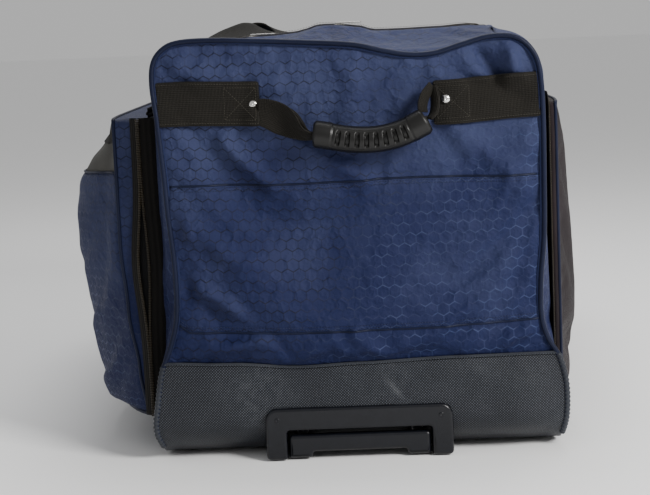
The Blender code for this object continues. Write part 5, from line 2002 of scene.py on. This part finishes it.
@dataclass
class EndHandle:
    """A webbing loop with a moulded grip, at one end."""

    lines: BagLines
    end: End
    surface: Surface
    grip_radius: float = 0.0148
    slots: int = 8

    def path(self) -> tuple[list[Vector], list[Vector], list[float]]:
        """Returns the webbing's middle line, the directions across it and its widths."""
        f = self.end.value
        e = self.lines.end_y + 0.006
        points = (
            (-0.1, e + 0.0045, 0.401), (-0.088, e + 0.007, 0.399), (-0.072, e + 0.0105, 0.392), (
                -0.058, e + 0.014, 0.382
            ),
            (-0.046, e + 0.0175, 0.3755), (-0.03, e + 0.019, 0.3735), (0.0, e + 0.0195, 0.3675), (
                0.03, e + 0.0195, 0.366
            ),
            (0.058, e + 0.0195, 0.371), (0.082, e + 0.0185, 0.3815), (0.09, e + 0.0175, 0.386),
        )
        across = (
            (0.25, 0, 1), (0.35, -0.1, 1), (0.5, -0.3, 1), (0.4, -0.7, 0.8), (
                0.1, -1, 0.5
            ), (0, -1, 0.3), (0, -1, 0.2), (0, -1, 0.2),
            (0, -1, 0.2), (-0.3, -1, 0.3), (-0.5, -0.9, 0.4),
        )
        widths = (0.03, 0.033, 0.036, 0.03, 0.023, 0.02, 0.018, 0.018, 0.018, 0.02, 0.021)
        line = [self.lines.at(p.x, p.y * f, p.z) for p in spline(points, 5)]
        turn = spline(across, 5)
        turn = [Vector((t.x, -t.y * f, t.z)) for t in turn]
        size = [p.x for p in spline([(w, 0, 0) for w in widths], 5)]
        return line, turn, size

    def webbing(self) -> None:
        """Builds the twisted webbing on both sides of the grip."""
        line, turn, size = self.path()
        body = f"{self.end.label}_handle"
        strap = ribbon(f"{body}_twisted_webbing", line, turn, size, 0.0021, 8, 0.16)
        smooth = strap.modifiers.new("smooth", "SUBSURF")
        smooth.levels = smooth.render_levels = 1
        WARDROBE.dress(strap, "webbing", "webbing", body, f"{body}_webbing")
        second = [p + Vector((0.004, -self.end.value * 0.003, -0.004)) for p in line[:26]]
        fold = ribbon(
            f"{body}_webbing_fold_left", second, turn[:26], [w * 0.92 for w in size[:26]], 0.0019, 6, -0.1
        )
        WARDROBE.dress(fold, "webbing", "webbing", body)
        depth = self.lines.end_y
        leaf = (
            (
                "inner",
                (
                    (0.085, 0.022, 0.3935), (0.0848, 0.02, 0.402), (0.0885, 0.015, 0.412),
                    (0.0965, 0.008, 0.4215),
                ),
                (0.75, 0.65, 0.3),
            ),
            (
                "outer",
                (
                    (0.0905, 0.023, 0.386), (0.0965, 0.019, 0.393), (0.099, 0.013, 0.406),
                    (0.0968, 0.007, 0.4205),
                ),
                (0.7, -0.7, 0.2),
            ),
        )
        for label, points, side in leaf:
            bend = [self.lines.at(x, self.end.value * (depth + y), z) for x, y, z in spline(points, 6)]
            facing = Vector((side[0], -self.end.value * side[1], side[2]))
            loop = ribbon(
                f"{body}_webbing_leaf_{label}", bend, [facing] * len(bend), [0.0125] * len(bend), 0.0019, 6, 0.1
            )
            WARDROBE.dress(loop, "webbing", "webbing", body)

    def dent(self, s: float, a: float) -> float:
        """Returns the grip's radius at a share of its length and an angle from straight out."""
        radius = self.grip_radius
        sleeve = 0.15
        if s < sleeve or s > 1 - sleeve:
            lip = min(abs(s - sleeve), abs(s - 1 + sleeve))
            radius += 0.0005 if lip > 0.006 else 0.0005 * lip / 0.006
            end = min(s, 1 - s)
            return radius - 0.0022 * hump(end, 0.012)
        along = (s - sleeve) / (1 - 2 * sleeve)
        height = a * radius
        frame_x = abs(along - 0.5) * 2
        frame = max(frame_x - 0.965, (abs(height) - 0.0112) / 0.02)
        radius -= 0.0006 * hump(frame, 0.022)
        pitch = 0.94 / self.slots
        cell = (along - 0.03) / pitch
        if 0 <= cell < self.slots:
            across = ((cell % 1.0) - 0.5) * pitch * 0.096
            away = math.hypot(across, max(0.0, abs(height) - 0.0065))
            radius -= 0.0046 * (1 - min(1.0, max(0.0, (away - 0.0021) / 0.0007)))
        return radius

    def grip(self) -> None:
        """Builds the moulded grip, curved like a smile, with its row of slots."""
        line, _, _ = self.path()
        first = nearest_index(line, lambda p: abs(p.x - self.lines.middle_x + 0.039))
        last = nearest_index(line, lambda p: abs(p.x - self.lines.middle_x - 0.0875))
        steps, sides = 250, 80
        path = spaced(line[first : last + 1], steps)
        out = Vector((0, self.end.value, 0))
        grid = []
        for i, p in enumerate(path):
            tangent = (path[min(i + 1, steps)] - path[max(i - 1, 0)]).normalized()
            ahead = (out - tangent * out.dot(tangent)).normalized()
            up = tangent.cross(ahead)
            row = []
            for k in range(sides + 1):
                a = -math.pi + 2 * math.pi * k / sides
                r = self.dent(i / steps, a)
                row.append(p + (ahead * math.cos(a) * 0.94 + up * math.sin(a)) * r)
            grid.append(row)
        verts = [p for row in grid for p in row[:-1]]
        faces = []
        for i in range(steps):
            for k in range(sides):
                a, b = i * sides, (i + 1) * sides
                faces.append((a + k, b + k, b + (k + 1) % sides, a + (k + 1) % sides))
        for row, p, flip in ((0, path[0], False), (steps, path[-1], True)):
            base = len(verts)
            verts += [p + (verts[row * sides + k] - p) * 0.7 for k in range(sides)]
            deep = len(verts)
            inward = (path[6] - path[0]) if row == 0 else (path[-7] - path[-1])
            verts += [p + inward + (verts[row * sides + k] - p) * 0.66 for k in range(sides)]
            for k in range(sides):
                n = (k + 1) % sides
                ring = (row * sides + k, row * sides + n, base + n, base + k)
                wall = (base + k, base + n, deep + n, deep + k)
                faces += [ring, wall] if not flip else [ring[::-1], wall[::-1]]
            cap = tuple(range(deep, deep + sides))
            faces.append(cap if row == 0 else cap[::-1])
        body = f"{self.end.label}_handle"
        obj = mesh_piece(f"{body}_moulded_grip", verts, faces)
        tidy = bmesh.new()
        tidy.from_mesh(obj.data)
        bmesh.ops.recalc_face_normals(tidy, faces=tidy.faces)
        tidy.to_mesh(obj.data)
        tidy.free()
        WARDROBE.dress(obj, "grip", "grip_plastic", body, f"{body}_grip")

    def build(self) -> None:
        """Builds the handle."""
        self.webbing()
        self.grip()


@dataclass
class SidePocket:
    """A zipped pocket on one side of the bag."""

    lines: BagLines
    side: Side
    front_y: float = -0.4
    rear_y: float = 0.34
    bottom: float = 0.047
    top: float = 0.395
    gusset: float = 0.043
    outer_cloth: float = 0.0016
    gusset_cloth: float = 0.0015
    tape_weave: float = 0.001

    @property
    def finish(self) -> tuple[str, str]:
        """The finish and the slot of the pocket's panels."""
        return ("navy", "navy_fabric") if self.side is Side.LEFT else ("pocket", "pocket_fabric")

    def depth(self, y: float, z: float) -> float:
        """Returns how far the pocket's outer panel stands off the bag's side."""
        ends = min(1.0, min(y - self.front_y, self.rear_y - y) / 0.1)
        swell = math.sin(max(0.0, ends) * math.pi / 2) ** 0.8
        if self.side is Side.LEFT:
            full = piecewise(
                (
                    (0.047, 0.058), (0.057, 0.078), (0.08, 0.095), (0.164, 0.106), (0.237, 0.116),
                    (0.282, 0.117), (0.318, 0.112), (0.345, 0.096), (0.369, 0.076), (0.395, 0.048),
                ),
                z,
            )
            edge = self.gusset * piecewise(((0.047, 0.5), (0.1, 0.66), (0.17, 0.88), (0.25, 1.0)), z)
            return edge + (full - edge) * swell
        full = piecewise(
            ((0.047, 0.022), (0.1, 0.029), (0.2, 0.036), (0.3, 0.031), (0.35, 0.025), (0.395, 0.018)), z
        )
        return 0.011 + (full - 0.011) * swell

    def outer(self) -> bpy.types.Object:
        """Builds the pocket's outer panel, settled between its seams."""
        cols, rows = 84, 40
        base = self.lines.half_width + 0.001
        left = self.side is Side.LEFT

        def point(j: int, i: int) -> Vector:
            z = self.bottom + (self.top - self.bottom) * j / rows
            y = self.front_y + (self.rear_y - self.front_y) * i / cols
            inner = min(1.0, min(i, cols - i, j, rows - j) / 4)
            spot = Vector((0, y, z))
            out = self.depth(y, z) + inner * (0.0026 if left else 0.002) * lumps(spot, 0.07, 6.1)
            out += inner * 0.0026 * creases(spot, 0.05, 9.0)
            if left:
                slope = (y - self.front_y) * 0.9 + (z - 0.05)
                ripple = inner * 0.0042 * math.sin(slope * 95 + 3 * lumps(spot, 0.05, 1.0))
                out += ripple * hump(y - self.front_y, 0.16) * hump(z - 0.13, 0.13)
            return self.lines.at(self.side.value * (base + out), y, z)

        grid = lay(rows, cols, point)
        name = self.side.label
        obj = grid_piece(f"{name}_pocket_outer_cloth", grid, flip=left)
        ClothSettler(spare=0.016, pressure=0.25, gravity=0.4, most=0.01).settle(obj, border(rows + 1, cols + 1))
        if left:
            self.split_vent(obj, rows, cols, grid)
        body = f"{name}_pocket"
        sew(obj, self.outer_cloth, *self.finish, body, f"{body}_shell")
        self.walls(grid)
        return obj

    def split_vent(self, obj: bpy.types.Object, rows: int, cols: int, grid: Grid) -> None:
        """Takes the slanted vent out of the outer panel as a piece of its own."""
        first = next(j for j in range(rows + 1) if grid[j][0].z > 0.333)
        keep = [v.co.copy() for v in obj.data.vertices]
        width = cols + 1
        vent = [keep[j * width : (j + 1) * width] for j in range(first, rows + 1)]
        cut_faces(obj, lambda face: face.index >= first * cols)
        mesh = grid_piece("left_pocket_vent_mesh", vent, flip=True)
        sew(mesh, 0.001, "mesh", "vent_mesh", "left_pocket", "left_pocket_vent")
        cap = [[p + Vector((-0.0009, 0, 0.0007)) for p in row] for row in vent[-4:]]
        band = grid_piece("left_pocket_vent_band", cap, flip=True)
        thicken(band, self.tape_weave, 0, 0.0)
        WARDROBE.dress(band, "tape", "zip_tape", "left_pocket")
        edge = [p + Vector((-0.0008, 0, 0)) for p in vent[0]]
        hem = tube("left_pocket_vent_hem", spaced(edge, 120), 0.0014, 6)
        WARDROBE.dress(hem, "piping", "navy_fabric", "left_pocket")

    def walls(self, grid: Grid) -> None:
        """Builds the gusset round the pocket's front, top, rear and bottom, with its piping."""
        name, body = self.side.label, f"{self.side.label}_pocket"
        inner_x = self.lines.middle_x + self.side.value * (self.lines.half_width + 0.0022)
        front = [row[0] for row in grid]
        rear = [row[-1] for row in grid]
        rim = front + grid[-1][1:] + rear[::-1][1:] + grid[0][::-1][1:-1]
        loop = spaced(rim + [rim[0]], 360)
        steps = 8
        wall = []
        for p in loop:
            row = []
            for k in range(steps + 1):
                t = k / steps
                q = Vector((p.x + (inner_x - p.x) * t, p.y, p.z))
                sag = 0.0032 * math.sin(math.pi * t) * (1 + 0.9 * lumps(q, 0.035, 8.8))
                if abs(p.y - self.front_y) < 0.002:
                    q.y -= sag
                elif abs(p.z - self.top) < 0.002:
                    q.z += sag * 0.4
                elif abs(p.y - self.rear_y) < 0.002:
                    q.y += sag
                row.append(q)
            wall.append(row)
        run = curve_length(loop) / (len(loop) - 1)
        depths = [curve_length(row) for row in wall]
        gusset = grid_piece(
            f"{name}_pocket_gusset", wall, lambda j, i: (
                depths[j] * i / steps, run * j
            ), flip=self.side is Side.RIGHT
        )
        sew(gusset, self.gusset_cloth, *self.finish, body)
        welt = tube(f"{name}_pocket_piping", loop[:-1], 0.0022, 8, closed=True)
        WARDROBE.dress(welt, "piping", "piping", body)

    def zip_path(self, inset: float, height: float) -> list[Vector]:
        """Returns a line round the pocket's mouth on the bag's side.

        Args:
            inset: How far outside the pocket's edge it runs.
            height: How far off the bag's side it lies.

        Returns:
            The line over the top and down the rear, with the front run too on the flat pocket.
        """
        front, rear, top = self.front_y - inset, self.rear_y + inset, self.top + inset
        corners = [(front, self.bottom, 0), (front, top, 0.02), (rear, top, 0.02), (rear, self.bottom, 0)]
        outline = fillet(corners if self.side is Side.RIGHT else [(self.front_y, top, 0), *corners[2:]], 6)
        line = []
        for y, z in outline:
            line.append(self.lines.at(self.side.value * (self.lines.half_width + height), y, z))
        return spaced(line, 420)

    def zip(self) -> None:
        """Builds the pocket's zip, parted a little on the left pocket's front run."""
        name, body = self.side.label, f"{self.side.label}_pocket"
        out = Vector((self.side.value, 0, 0))
        left = self.side is Side.LEFT

        for label, rider, first, last in (("bag", "bag", 0.0125, 0.0066), ("flap", body, 0.0056, 0.0008)):
            columns = [self.zip_path(first + (last - first) * s, 0.003) for s in (0.0, 0.5, 1.0)]
            grid = [[column[j] for column in columns] for j in range(len(columns[0]))]
            run = curve_length(columns[0]) / (len(grid) - 1)
            tape = grid_piece(
                f"{name}_pocket_zip_tape_{label}", grid, lambda j, i: (0.006 * i / 2, run * j), flip=not left
            )
            thicken(tape, self.tape_weave, 0, 0.0)
            nodes = (f"{name}_pocket_zip_tape",) if label == "bag" else ()
            WARDROBE.dress(tape, "tape", "zip_tape", rider, *nodes)
            line = [p + out * 0.0006 for p in self.zip_path(last if label == "bag" else first, 0.003)]
            coil = zip_teeth(f"{name}_pocket_zip_coil_{label}", line, [out] * len(line), 0.002, 0.0034)
            WARDROBE.dress(coil, "coil", "zip_tape", rider)
        if left:
            self.front_band()

    def front_band(self) -> None:
        """Builds the strip of tape that faces forward beside the pocket's front run."""
        for label, rider, x0, x1 in (("bag", "bag", -0.007, 0.0135), ("flap", "left_pocket", 0.015, 0.0235)):
            grid = []
            for j in range(101):
                z = self.bottom + (self.top - self.bottom + 0.002) * j / 100
                swing = 0.007 * hump(z - 0.225, 0.06) * (1 if label == "flap" else -0.55)
                row = []
                for k in range(4):
                    x = self.lines.half_width + x0 + (x1 - x0) * k / 3 + swing
                    row.append(
                        self.lines.at(
                            -x,
                            self.front_y - 0.0135 + (0.006 * k / 3 if label == "flap" else 0.004 * (1 - k / 3)),
                            z,
                        )
                    )
                grid.append(row)
            tape = grid_piece(
                f"left_pocket_front_tape_{label}", grid, lambda j, i: (0.007 * i / 3, 0.0036 * j), flip=False
            )
            thicken(tape, self.tape_weave, 0, 0.0)
            WARDROBE.dress(tape, "tape", "zip_tape", rider)
            edge = [row[0 if label == "flap" else -1] + Vector((0, -0.0008, 0)) for row in grid]
            coil = zip_teeth(f"left_pocket_front_coil_{label}", edge, [FORWARD] * len(edge), 0.002, 0.0036)
            WARDROBE.dress(coil, "coil", "zip_tape", rider)

        # A black zip flap behind the parted front run; its black also stands for the shade inside the open
        # pocket, painted shade.
        lining = [
            [self.lines.at(-self.lines.half_width - x, self.front_y - 0.0075, z) for x in (0.002, 0.012, 0.022)]
            for z in (self.bottom + 0.002, 0.5 * (self.bottom + self.top), self.top - 0.002)
        ]
        backing = grid_piece("left_pocket_front_lining", lining)
        thicken(backing, self.tape_weave, 0, 0.0)
        WARDROBE.dress(backing, "lining", "zip_tape", "left_pocket")

    def slider(self) -> None:
        """Builds the pocket's slider on its top run."""
        name = self.side.label
        lo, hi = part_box(f"{name}_pocket_slider")
        middle = (lo + hi) / 2
        middle.x += self.side.value * (0.004 if self.side is Side.LEFT else 0.002)
        nodes = (f"{name}_pocket_slider", f"{name}_pocket_pull_tab")
        SliderSet.slider(f"{name}_pocket_zip", middle, ALONG, Vector((self.side.value, 0, 0)), nodes, nodes)

    def build(self) -> None:
        """Builds the pocket."""
        self.outer()
        self.zip()
        self.slider()


@dataclass
class CarryLoop:
    """A long webbing carry handle at one shoulder."""

    lines: BagLines
    side: Side

    def build(self) -> None:
        """Builds the loop along the middle line of its CAD solid."""
        name = self.side.label
        arch_x, arch_z, out = self.lines.half_width - 0.05, 0.422, 0.0534
        turn = math.radians
        hang = self.lines.half_width + 0.034

        def arc(a: float) -> tuple[float, float]:
            return arch_x + out * math.cos(turn(a)), arch_z + out * math.sin(turn(a))

        if self.side is Side.LEFT:
            half = [(-arc(a)[0], -0.15, arc(a)[1] + 0.003) for a in (40, 58, 76)]
            half += [
                (-0.158, -0.15, 0.4845), (-0.13, -0.149, 0.49), (-0.103, -0.138, 0.488),
                (-0.088, -0.105, 0.4845), (-0.084, -0.055, 0.48),
            ]
            across = [(0, 1, 0)] * 3 + [
                (0, 1, 0.3), (0, 1, 0.42), (-0.4, 1, 0.3), (-1, 0.6, 0.1), (-1, 0.15, 0)
            ]
            widths = [STRAP_WIDTH] * 4 + [0.048, 0.043, 0.038, 0.036]
            middle = (-0.083, 0.0, 0.4805)
        else:
            half = [(arc(a)[0], -0.15, arc(a)[1]) for a in (40, 10)]
            half += [
                (hang - 0.028, -0.15, 0.419), (hang - 0.012, -0.147, 0.401), (hang - 0.003, -0.136, 0.362),
                (hang + 0.002, -0.112, 0.33), (hang + 0.003, -0.07, 0.315),
            ]
            across = [(0, 1, 0)] * 3 + [(0, 1, 0.1), (0, 1, 0.5), (0, 0.6, 1), (0, 0.15, 1)]
            widths = [STRAP_WIDTH] * 3 + [0.048, 0.043, 0.038, 0.036]
            middle = (hang + 0.003, 0.0, 0.312)
        mirrored = [(x, -y, z) for x, y, z in half[::-1]]
        path = [self.lines.at(*p) for p in spline([*half, middle, *mirrored], 8)]
        turns = [Vector(a) for a in [*across, across[-1], *[(x, -y, z) for x, y, z in across[::-1]]]]
        facing = turns[0]
        for t in turns:
            if t.dot(facing) < 0:
                t.negate()
            facing = t
        body = f"{name}_carry"
        sizes = [p.x for p in spline([(w, 0, 0) for w in [*widths, widths[-1], *widths[::-1]]], 8)]
        strap = ribbon(f"{body}_webbing", path, spline(turns, 8), sizes, WEBBING, 8, 0.03)
        WARDROBE.dress(strap, "webbing", "webbing", body, f"{body}_loop")
        self.anchors(arc)
        if self.side is Side.RIGHT:
            self.wrap(hang)

    def anchors(self, arc: Callable[[float], tuple[float, float]]) -> None:
        """Sews the webbing that runs down the bag's side under each end of the loop."""
        threads = ThreadWork(f"{self.side.label}_anchor_stitches", 0.0009)
        out = Vector((self.side.value, 0, 0.2)).normalized()
        for k, y in enumerate((-0.15, 0.15)):
            points = [(arc(a)[0] + 0.0012, arc(a)[1]) for a in (46, 34, 22, 10, 0)] + [
                (self.lines.half_width + 0.005, z) for z in (0.412, 0.404)
            ]
            path = [self.lines.at(self.side.value * x, y, z) for x, z in spline_2d(points, 4)]
            band = ribbon(
                f"{self.side.label}_anchor_band_{k}", path, [ALONG] * len(path), [STRAP_WIDTH] * len(path),
                WEBBING, 6,
            )
            WARDROBE.dress(band, "webbing", "webbing", "bag")
            lift = out * 0.0014
            rows = [[p + Vector((0, dy, 0)) + lift for p in path[3:]] for dy in (-0.02, 0.02)]
            for row in rows:
                threads.run(row, out, STITCH)
            for a, b in ((rows[0], rows[1]), (rows[1], rows[0])):
                cross = [a[i].lerp(b[i], i / (len(a) - 1)) for i in range(len(a))]
                threads.run(cross, out, STITCH)
        WARDROBE.dress(threads.finish(), "dark_thread", "webbing", "bag")

    def wrap(self, hang: float) -> None:
        """Builds the hand wrap that closes round the hanging loop."""
        centre = self.lines.at(hang + 0.003, 0.0, 0.312)

        def point(j: int, k: int) -> Vector:
            y = -0.055 + 0.11 * j / 24
            a = 2 * math.pi * k / 24
            crease = 1 + 0.05 * math.sin(5 * a + 9 * y)
            return centre + Vector((0.0056 * math.cos(a) * crease, y, 0.0205 * math.sin(a)))

        sleeve = grid_piece("carry_wrap_sleeve", lay(24, 24, point))
        thicken(sleeve, 0.0016, 1)
        WARDROBE.dress(sleeve, "webbing", "webbing", "right_carry", "carry_wrap")


def spline_2d(points: Sequence[tuple[float, float]], per_span: int) -> list[tuple[float, float]]:
    """Runs a smooth curve through flat points."""
    return [(p.x, p.y) for p in spline([(a, b, 0.0) for a, b in points], per_span)]


@dataclass
class PullHandle:
    """The moulded housing and the grip bar of the telescopic handle."""

    lines: BagLines

    def build(self) -> None:
        """Builds the housing, its screw caps and the grip bar."""
        lo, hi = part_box("pull_housing")
        half, top = (hi.x - lo.x) / 2, hi.z
        mouth, mouth_top = 0.0835, 0.0345
        foot = 0.0005
        outline = fillet(
            [
                (-half, foot, 0.005), (-mouth, foot, 0.003), (-mouth, mouth_top, 0.004), (
                    mouth, mouth_top, 0.004
                ),
                (mouth, foot, 0.003), (half, foot, 0.005), (half, top, 0.0135), (-half, top, 0.0135),
            ],
            5,
        )
        housing = rounded_plate(
            "pull_housing_moulding", outline, lo.y - 0.0015, hi.y, 0.0034, self.lines.middle_x
        )
        WARDROBE.dress(housing, "housing", "housing_plastic", "bag", "pull_housing")
        back = rounded_plate(
            "pull_housing_back",
            fillet(
                [
                    (-mouth - 0.002, foot, 0), (mouth + 0.002, foot, 0), (mouth + 0.002, mouth_top + 0.002, 0),
                    (-mouth - 0.002, mouth_top + 0.002, 0),
                ]
            ),
            -0.412, hi.y, 0.0006, self.lines.middle_x,
        )
        WARDROBE.dress(back, "housing", "housing_plastic", "bag")
        for k, x in enumerate((-0.094, 0.094)):
            cap = lathe(
                f"pull_housing_screw_cap_{k}",
                [(0.0001, 0.0004), (0.0026, 0.0004), (0.0033, -0.0002), (0.0033, -0.0008), (0.0001, -0.0008)],
                self.lines.at(x, lo.y - 0.0016, 0.0475), FORWARD, 24,
            )
            WARDROBE.dress(cap, "housing", "housing_plastic", "bag")
        lo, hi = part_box("pull_grip_bar")
        end, lump, low, foot, top = (hi.x - lo.x) / 2, 0.026, 0.0085, lo.z, hi.z
        outline = fillet(
            [
                (-end, foot, 0.003), (-end + lump, foot, 0.003), (-end + lump + 0.002, low, 0.003), (
                    end - lump - 0.002, low, 0.003
                ),
                (end - lump, foot, 0.003), (end, foot, 0.003), (end, top, 0.005), (-end, top, 0.005),
            ],
            5,
        )
        bar = rounded_plate("pull_grip_bar_moulding", outline, lo.y, hi.y, 0.004, self.lines.middle_x)
        WARDROBE.dress(bar, "housing", "housing_plastic", "pull_grip", "pull_grip_bar")


@dataclass
class Wheels:
    """The inline wheels: grooved tyres on spoked hubs."""

    lines: BagLines

    def build(self) -> None:
        """Builds both wheels."""
        for side in Side:
            name = side.label
            lo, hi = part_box(f"tyre_{name}")
            centre, radius, half = (lo + hi) / 2, (hi.z - lo.z) / 2, (hi.x - lo.x) / 2
            tyre = [
                (0.0262, half - 0.0006), (0.03, half), (radius - 0.005, half - 0.0002),
                (radius - 0.002, half - 0.0026), (radius - 0.0004, half - 0.006),
                (radius, 0.003), (radius - 0.0008, 0.0012), (radius - 0.0008, -0.0012), (radius, -0.003),
                (radius - 0.0004, -half + 0.006), (radius - 0.002, -half + 0.0026),
                (radius - 0.005, -half + 0.0002), (0.03, -half), (0.0262, -half + 0.0006),
            ]
            piece = lathe(f"tyre_{name}_moulding", tyre, centre, ACROSS, 96)
            WARDROBE.dress(piece, "wheel", "tyre", f"wheel_{name}", f"tyre_{name}")
            hub = [
                (0.0113, half - 0.0005), (0.0155, half - 0.0005), (0.0168, half - 0.0016), (0.0176, 0.0042),
                (0.0222, 0.0042), (0.0232, half - 0.003),
                (0.0258, half - 0.0022), (0.0258, -half + 0.0022), (0.0232, -half + 0.003), (0.0222, -0.0042),
                (0.0176, -0.0042), (0.0168, -half + 0.0016),
                (0.0155, -half + 0.0005), (0.0113, -half + 0.0005),
            ]
            core = lathe(f"hub_{name}_moulding", hub, centre, ACROSS, 64)
            WARDROBE.dress(core, "hub", "hub_plastic", f"wheel_{name}", f"hub_{name}")
            verts, faces = [], []
            for k in range(6):
                a = math.pi * k / 3
                way, side_way = Vector((0, math.cos(a), math.sin(a))), Vector((0, -math.sin(a), math.cos(a)))
                for sign in (-1, 1):
                    base = len(verts)
                    for x in (0.0038, half - 0.0032):
                        for r, w in ((0.0165, 0.0016), (0.0235, 0.0013)):
                            verts += [
                                centre + Vector((sign * x, 0, 0)) + way * r + side_way * w,
                                centre + Vector((sign * x, 0, 0)) + way * r - side_way * w,
                            ]
                    quads = [(4, 5, 7, 6), (0, 2, 3, 1), (0, 4, 6, 2), (1, 3, 7, 5), (2, 6, 7, 3), (0, 1, 5, 4)]
                    faces += [tuple(base + q for q in (quad if sign > 0 else quad[::-1])) for quad in quads]
            spokes = mesh_piece(f"hub_{name}_spokes", verts, faces, smooth=False)
            WARDROBE.dress(spokes, "hub", "hub_plastic", f"wheel_{name}")


CARRIED = {
    "floor_board": "board",
    "outer_tube_frame": "tube",
    "mid_tube_left": "tube",
    "mid_tube_right": "tube",
    "inner_tube_left": "tube",
    "inner_tube_right": "tube",
    "wheel_cup_left": "housing",
    "wheel_cup_right": "housing",
    "axle_left": "steel",
    "axle_right": "steel",
    "bearings_left": "steel",
    "bearings_right": "steel",
}


def dress_carried_nodes() -> None:
    """Gives the CAD nodes that stay their detailed finishes."""
    for name, finish in CARRIED.items():
        obj = frame["nodes"][name]
        for slot in obj.material_slots:
            slot.material = WARDROBE.get(finish)
        LOG.info("%s stays, in %s", name, finish)


@dataclass
class Studio:
    """The floor, the lights and the camera."""

    middle_x: float
    lens: float = 91.0
    place: tuple = (0.044, -2.3, 0.497)
    yaw: float = 1.51
    pitch: float = 7.8
    roll: float = 2.48

    def light(
        self, name: str, place: Point, target: Point, size: float, power: float, colour: Point = (1, 1, 1)
    ) -> None:
        """Adds a soft area light."""
        data = bpy.data.lights.new(name, "AREA")
        data.shape, data.size, data.energy, data.color = "SQUARE", size, power, colour
        lamp = bpy.data.objects.new(name, data)
        lamp.location = place
        lamp.rotation_euler = (Vector(target) - Vector(place)).to_track_quat("-Z", "Y").to_euler()
        bpy.context.scene.collection.objects.link(lamp)

    def build(self) -> None:
        """Sets up the studio."""
        bpy.ops.mesh.primitive_plane_add(size=60.0, location=(0, 0, -0.001))
        floor = bpy.context.object
        floor.name = "studio_floor"
        paint = bpy.data.materials.new("studio floor")
        paint.use_nodes = True
        shader = paint.node_tree.nodes["Principled BSDF"]
        shader.inputs["Base Color"].default_value = (0.93, 0.93, 0.93, 1)
        shader.inputs["Roughness"].default_value = 0.9
        floor.data.materials.append(paint)
        world = bpy.data.worlds.new("studio")
        world.use_nodes = True
        world.node_tree.nodes["Background"].inputs[0].default_value = (1, 1, 1, 1)
        world.node_tree.nodes["Background"].inputs[1].default_value = 0.52
        bpy.context.scene.world = world
        aim = (self.middle_x, -0.2, 0.25)
        self.light("key", (1.75, -1.9, 1.5), aim, 0.8, 88.0, (1.0, 0.99, 0.97))
        self.light("fill", (-1.9, -1.6, 1.2), aim, 1.6, 1.5, (0.93, 0.96, 1.0))
        self.light("top", (0.1, 0.5, 2.2), aim, 1.4, 26.0)
        data = bpy.data.cameras.new("main_camera")
        data.lens, data.sensor_width = self.lens, 36.0
        data.clip_start = 0.05
        camera = bpy.data.objects.new("main_camera", data)
        camera.location = (self.place[0] - 0.0262 + self.middle_x, self.place[1], self.place[2])
        yaw, pitch, roll = (math.radians(a) for a in (self.yaw, self.pitch, self.roll))
        tilt = Matrix.Rotation(math.pi / 2 - pitch, 4, "X") @ Matrix.Rotation(-roll, 4, "Z")
        aim_matrix = Matrix.Rotation(yaw, 4, "Z") @ tilt
        camera.rotation_euler = aim_matrix.to_euler()
        bpy.context.scene.collection.objects.link(camera)
        bpy.context.scene.camera = camera


def main() -> None:
    """Builds the bag in order."""
    logging.basicConfig(level=logging.INFO, format="%(message)s")
    random.seed(9)
    lo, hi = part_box("end_panel_front")
    lines = BagLines(middle_x=(lo.x + hi.x) / 2, half_width=(hi.x - lo.x) / 2)
    Studio(lines.middle_x).build()
    ends = EndPanels(lines)
    ends.build()
    wrap = BodyWrap(lines)
    wrap.build()
    SliderSet(wrap).build()
    ToughBase(lines).build()
    for end in End:
        EndHandle(lines, end, ends.surfaces[end]).build()
    for side in Side:
        SidePocket(lines, side).build()
        CarryLoop(lines, side).build()
    PullHandle(lines).build()
    Wheels(lines).build()
    dress_carried_nodes()
    bpy.context.view_layer.update()


if __name__ == "__main__":
    main()
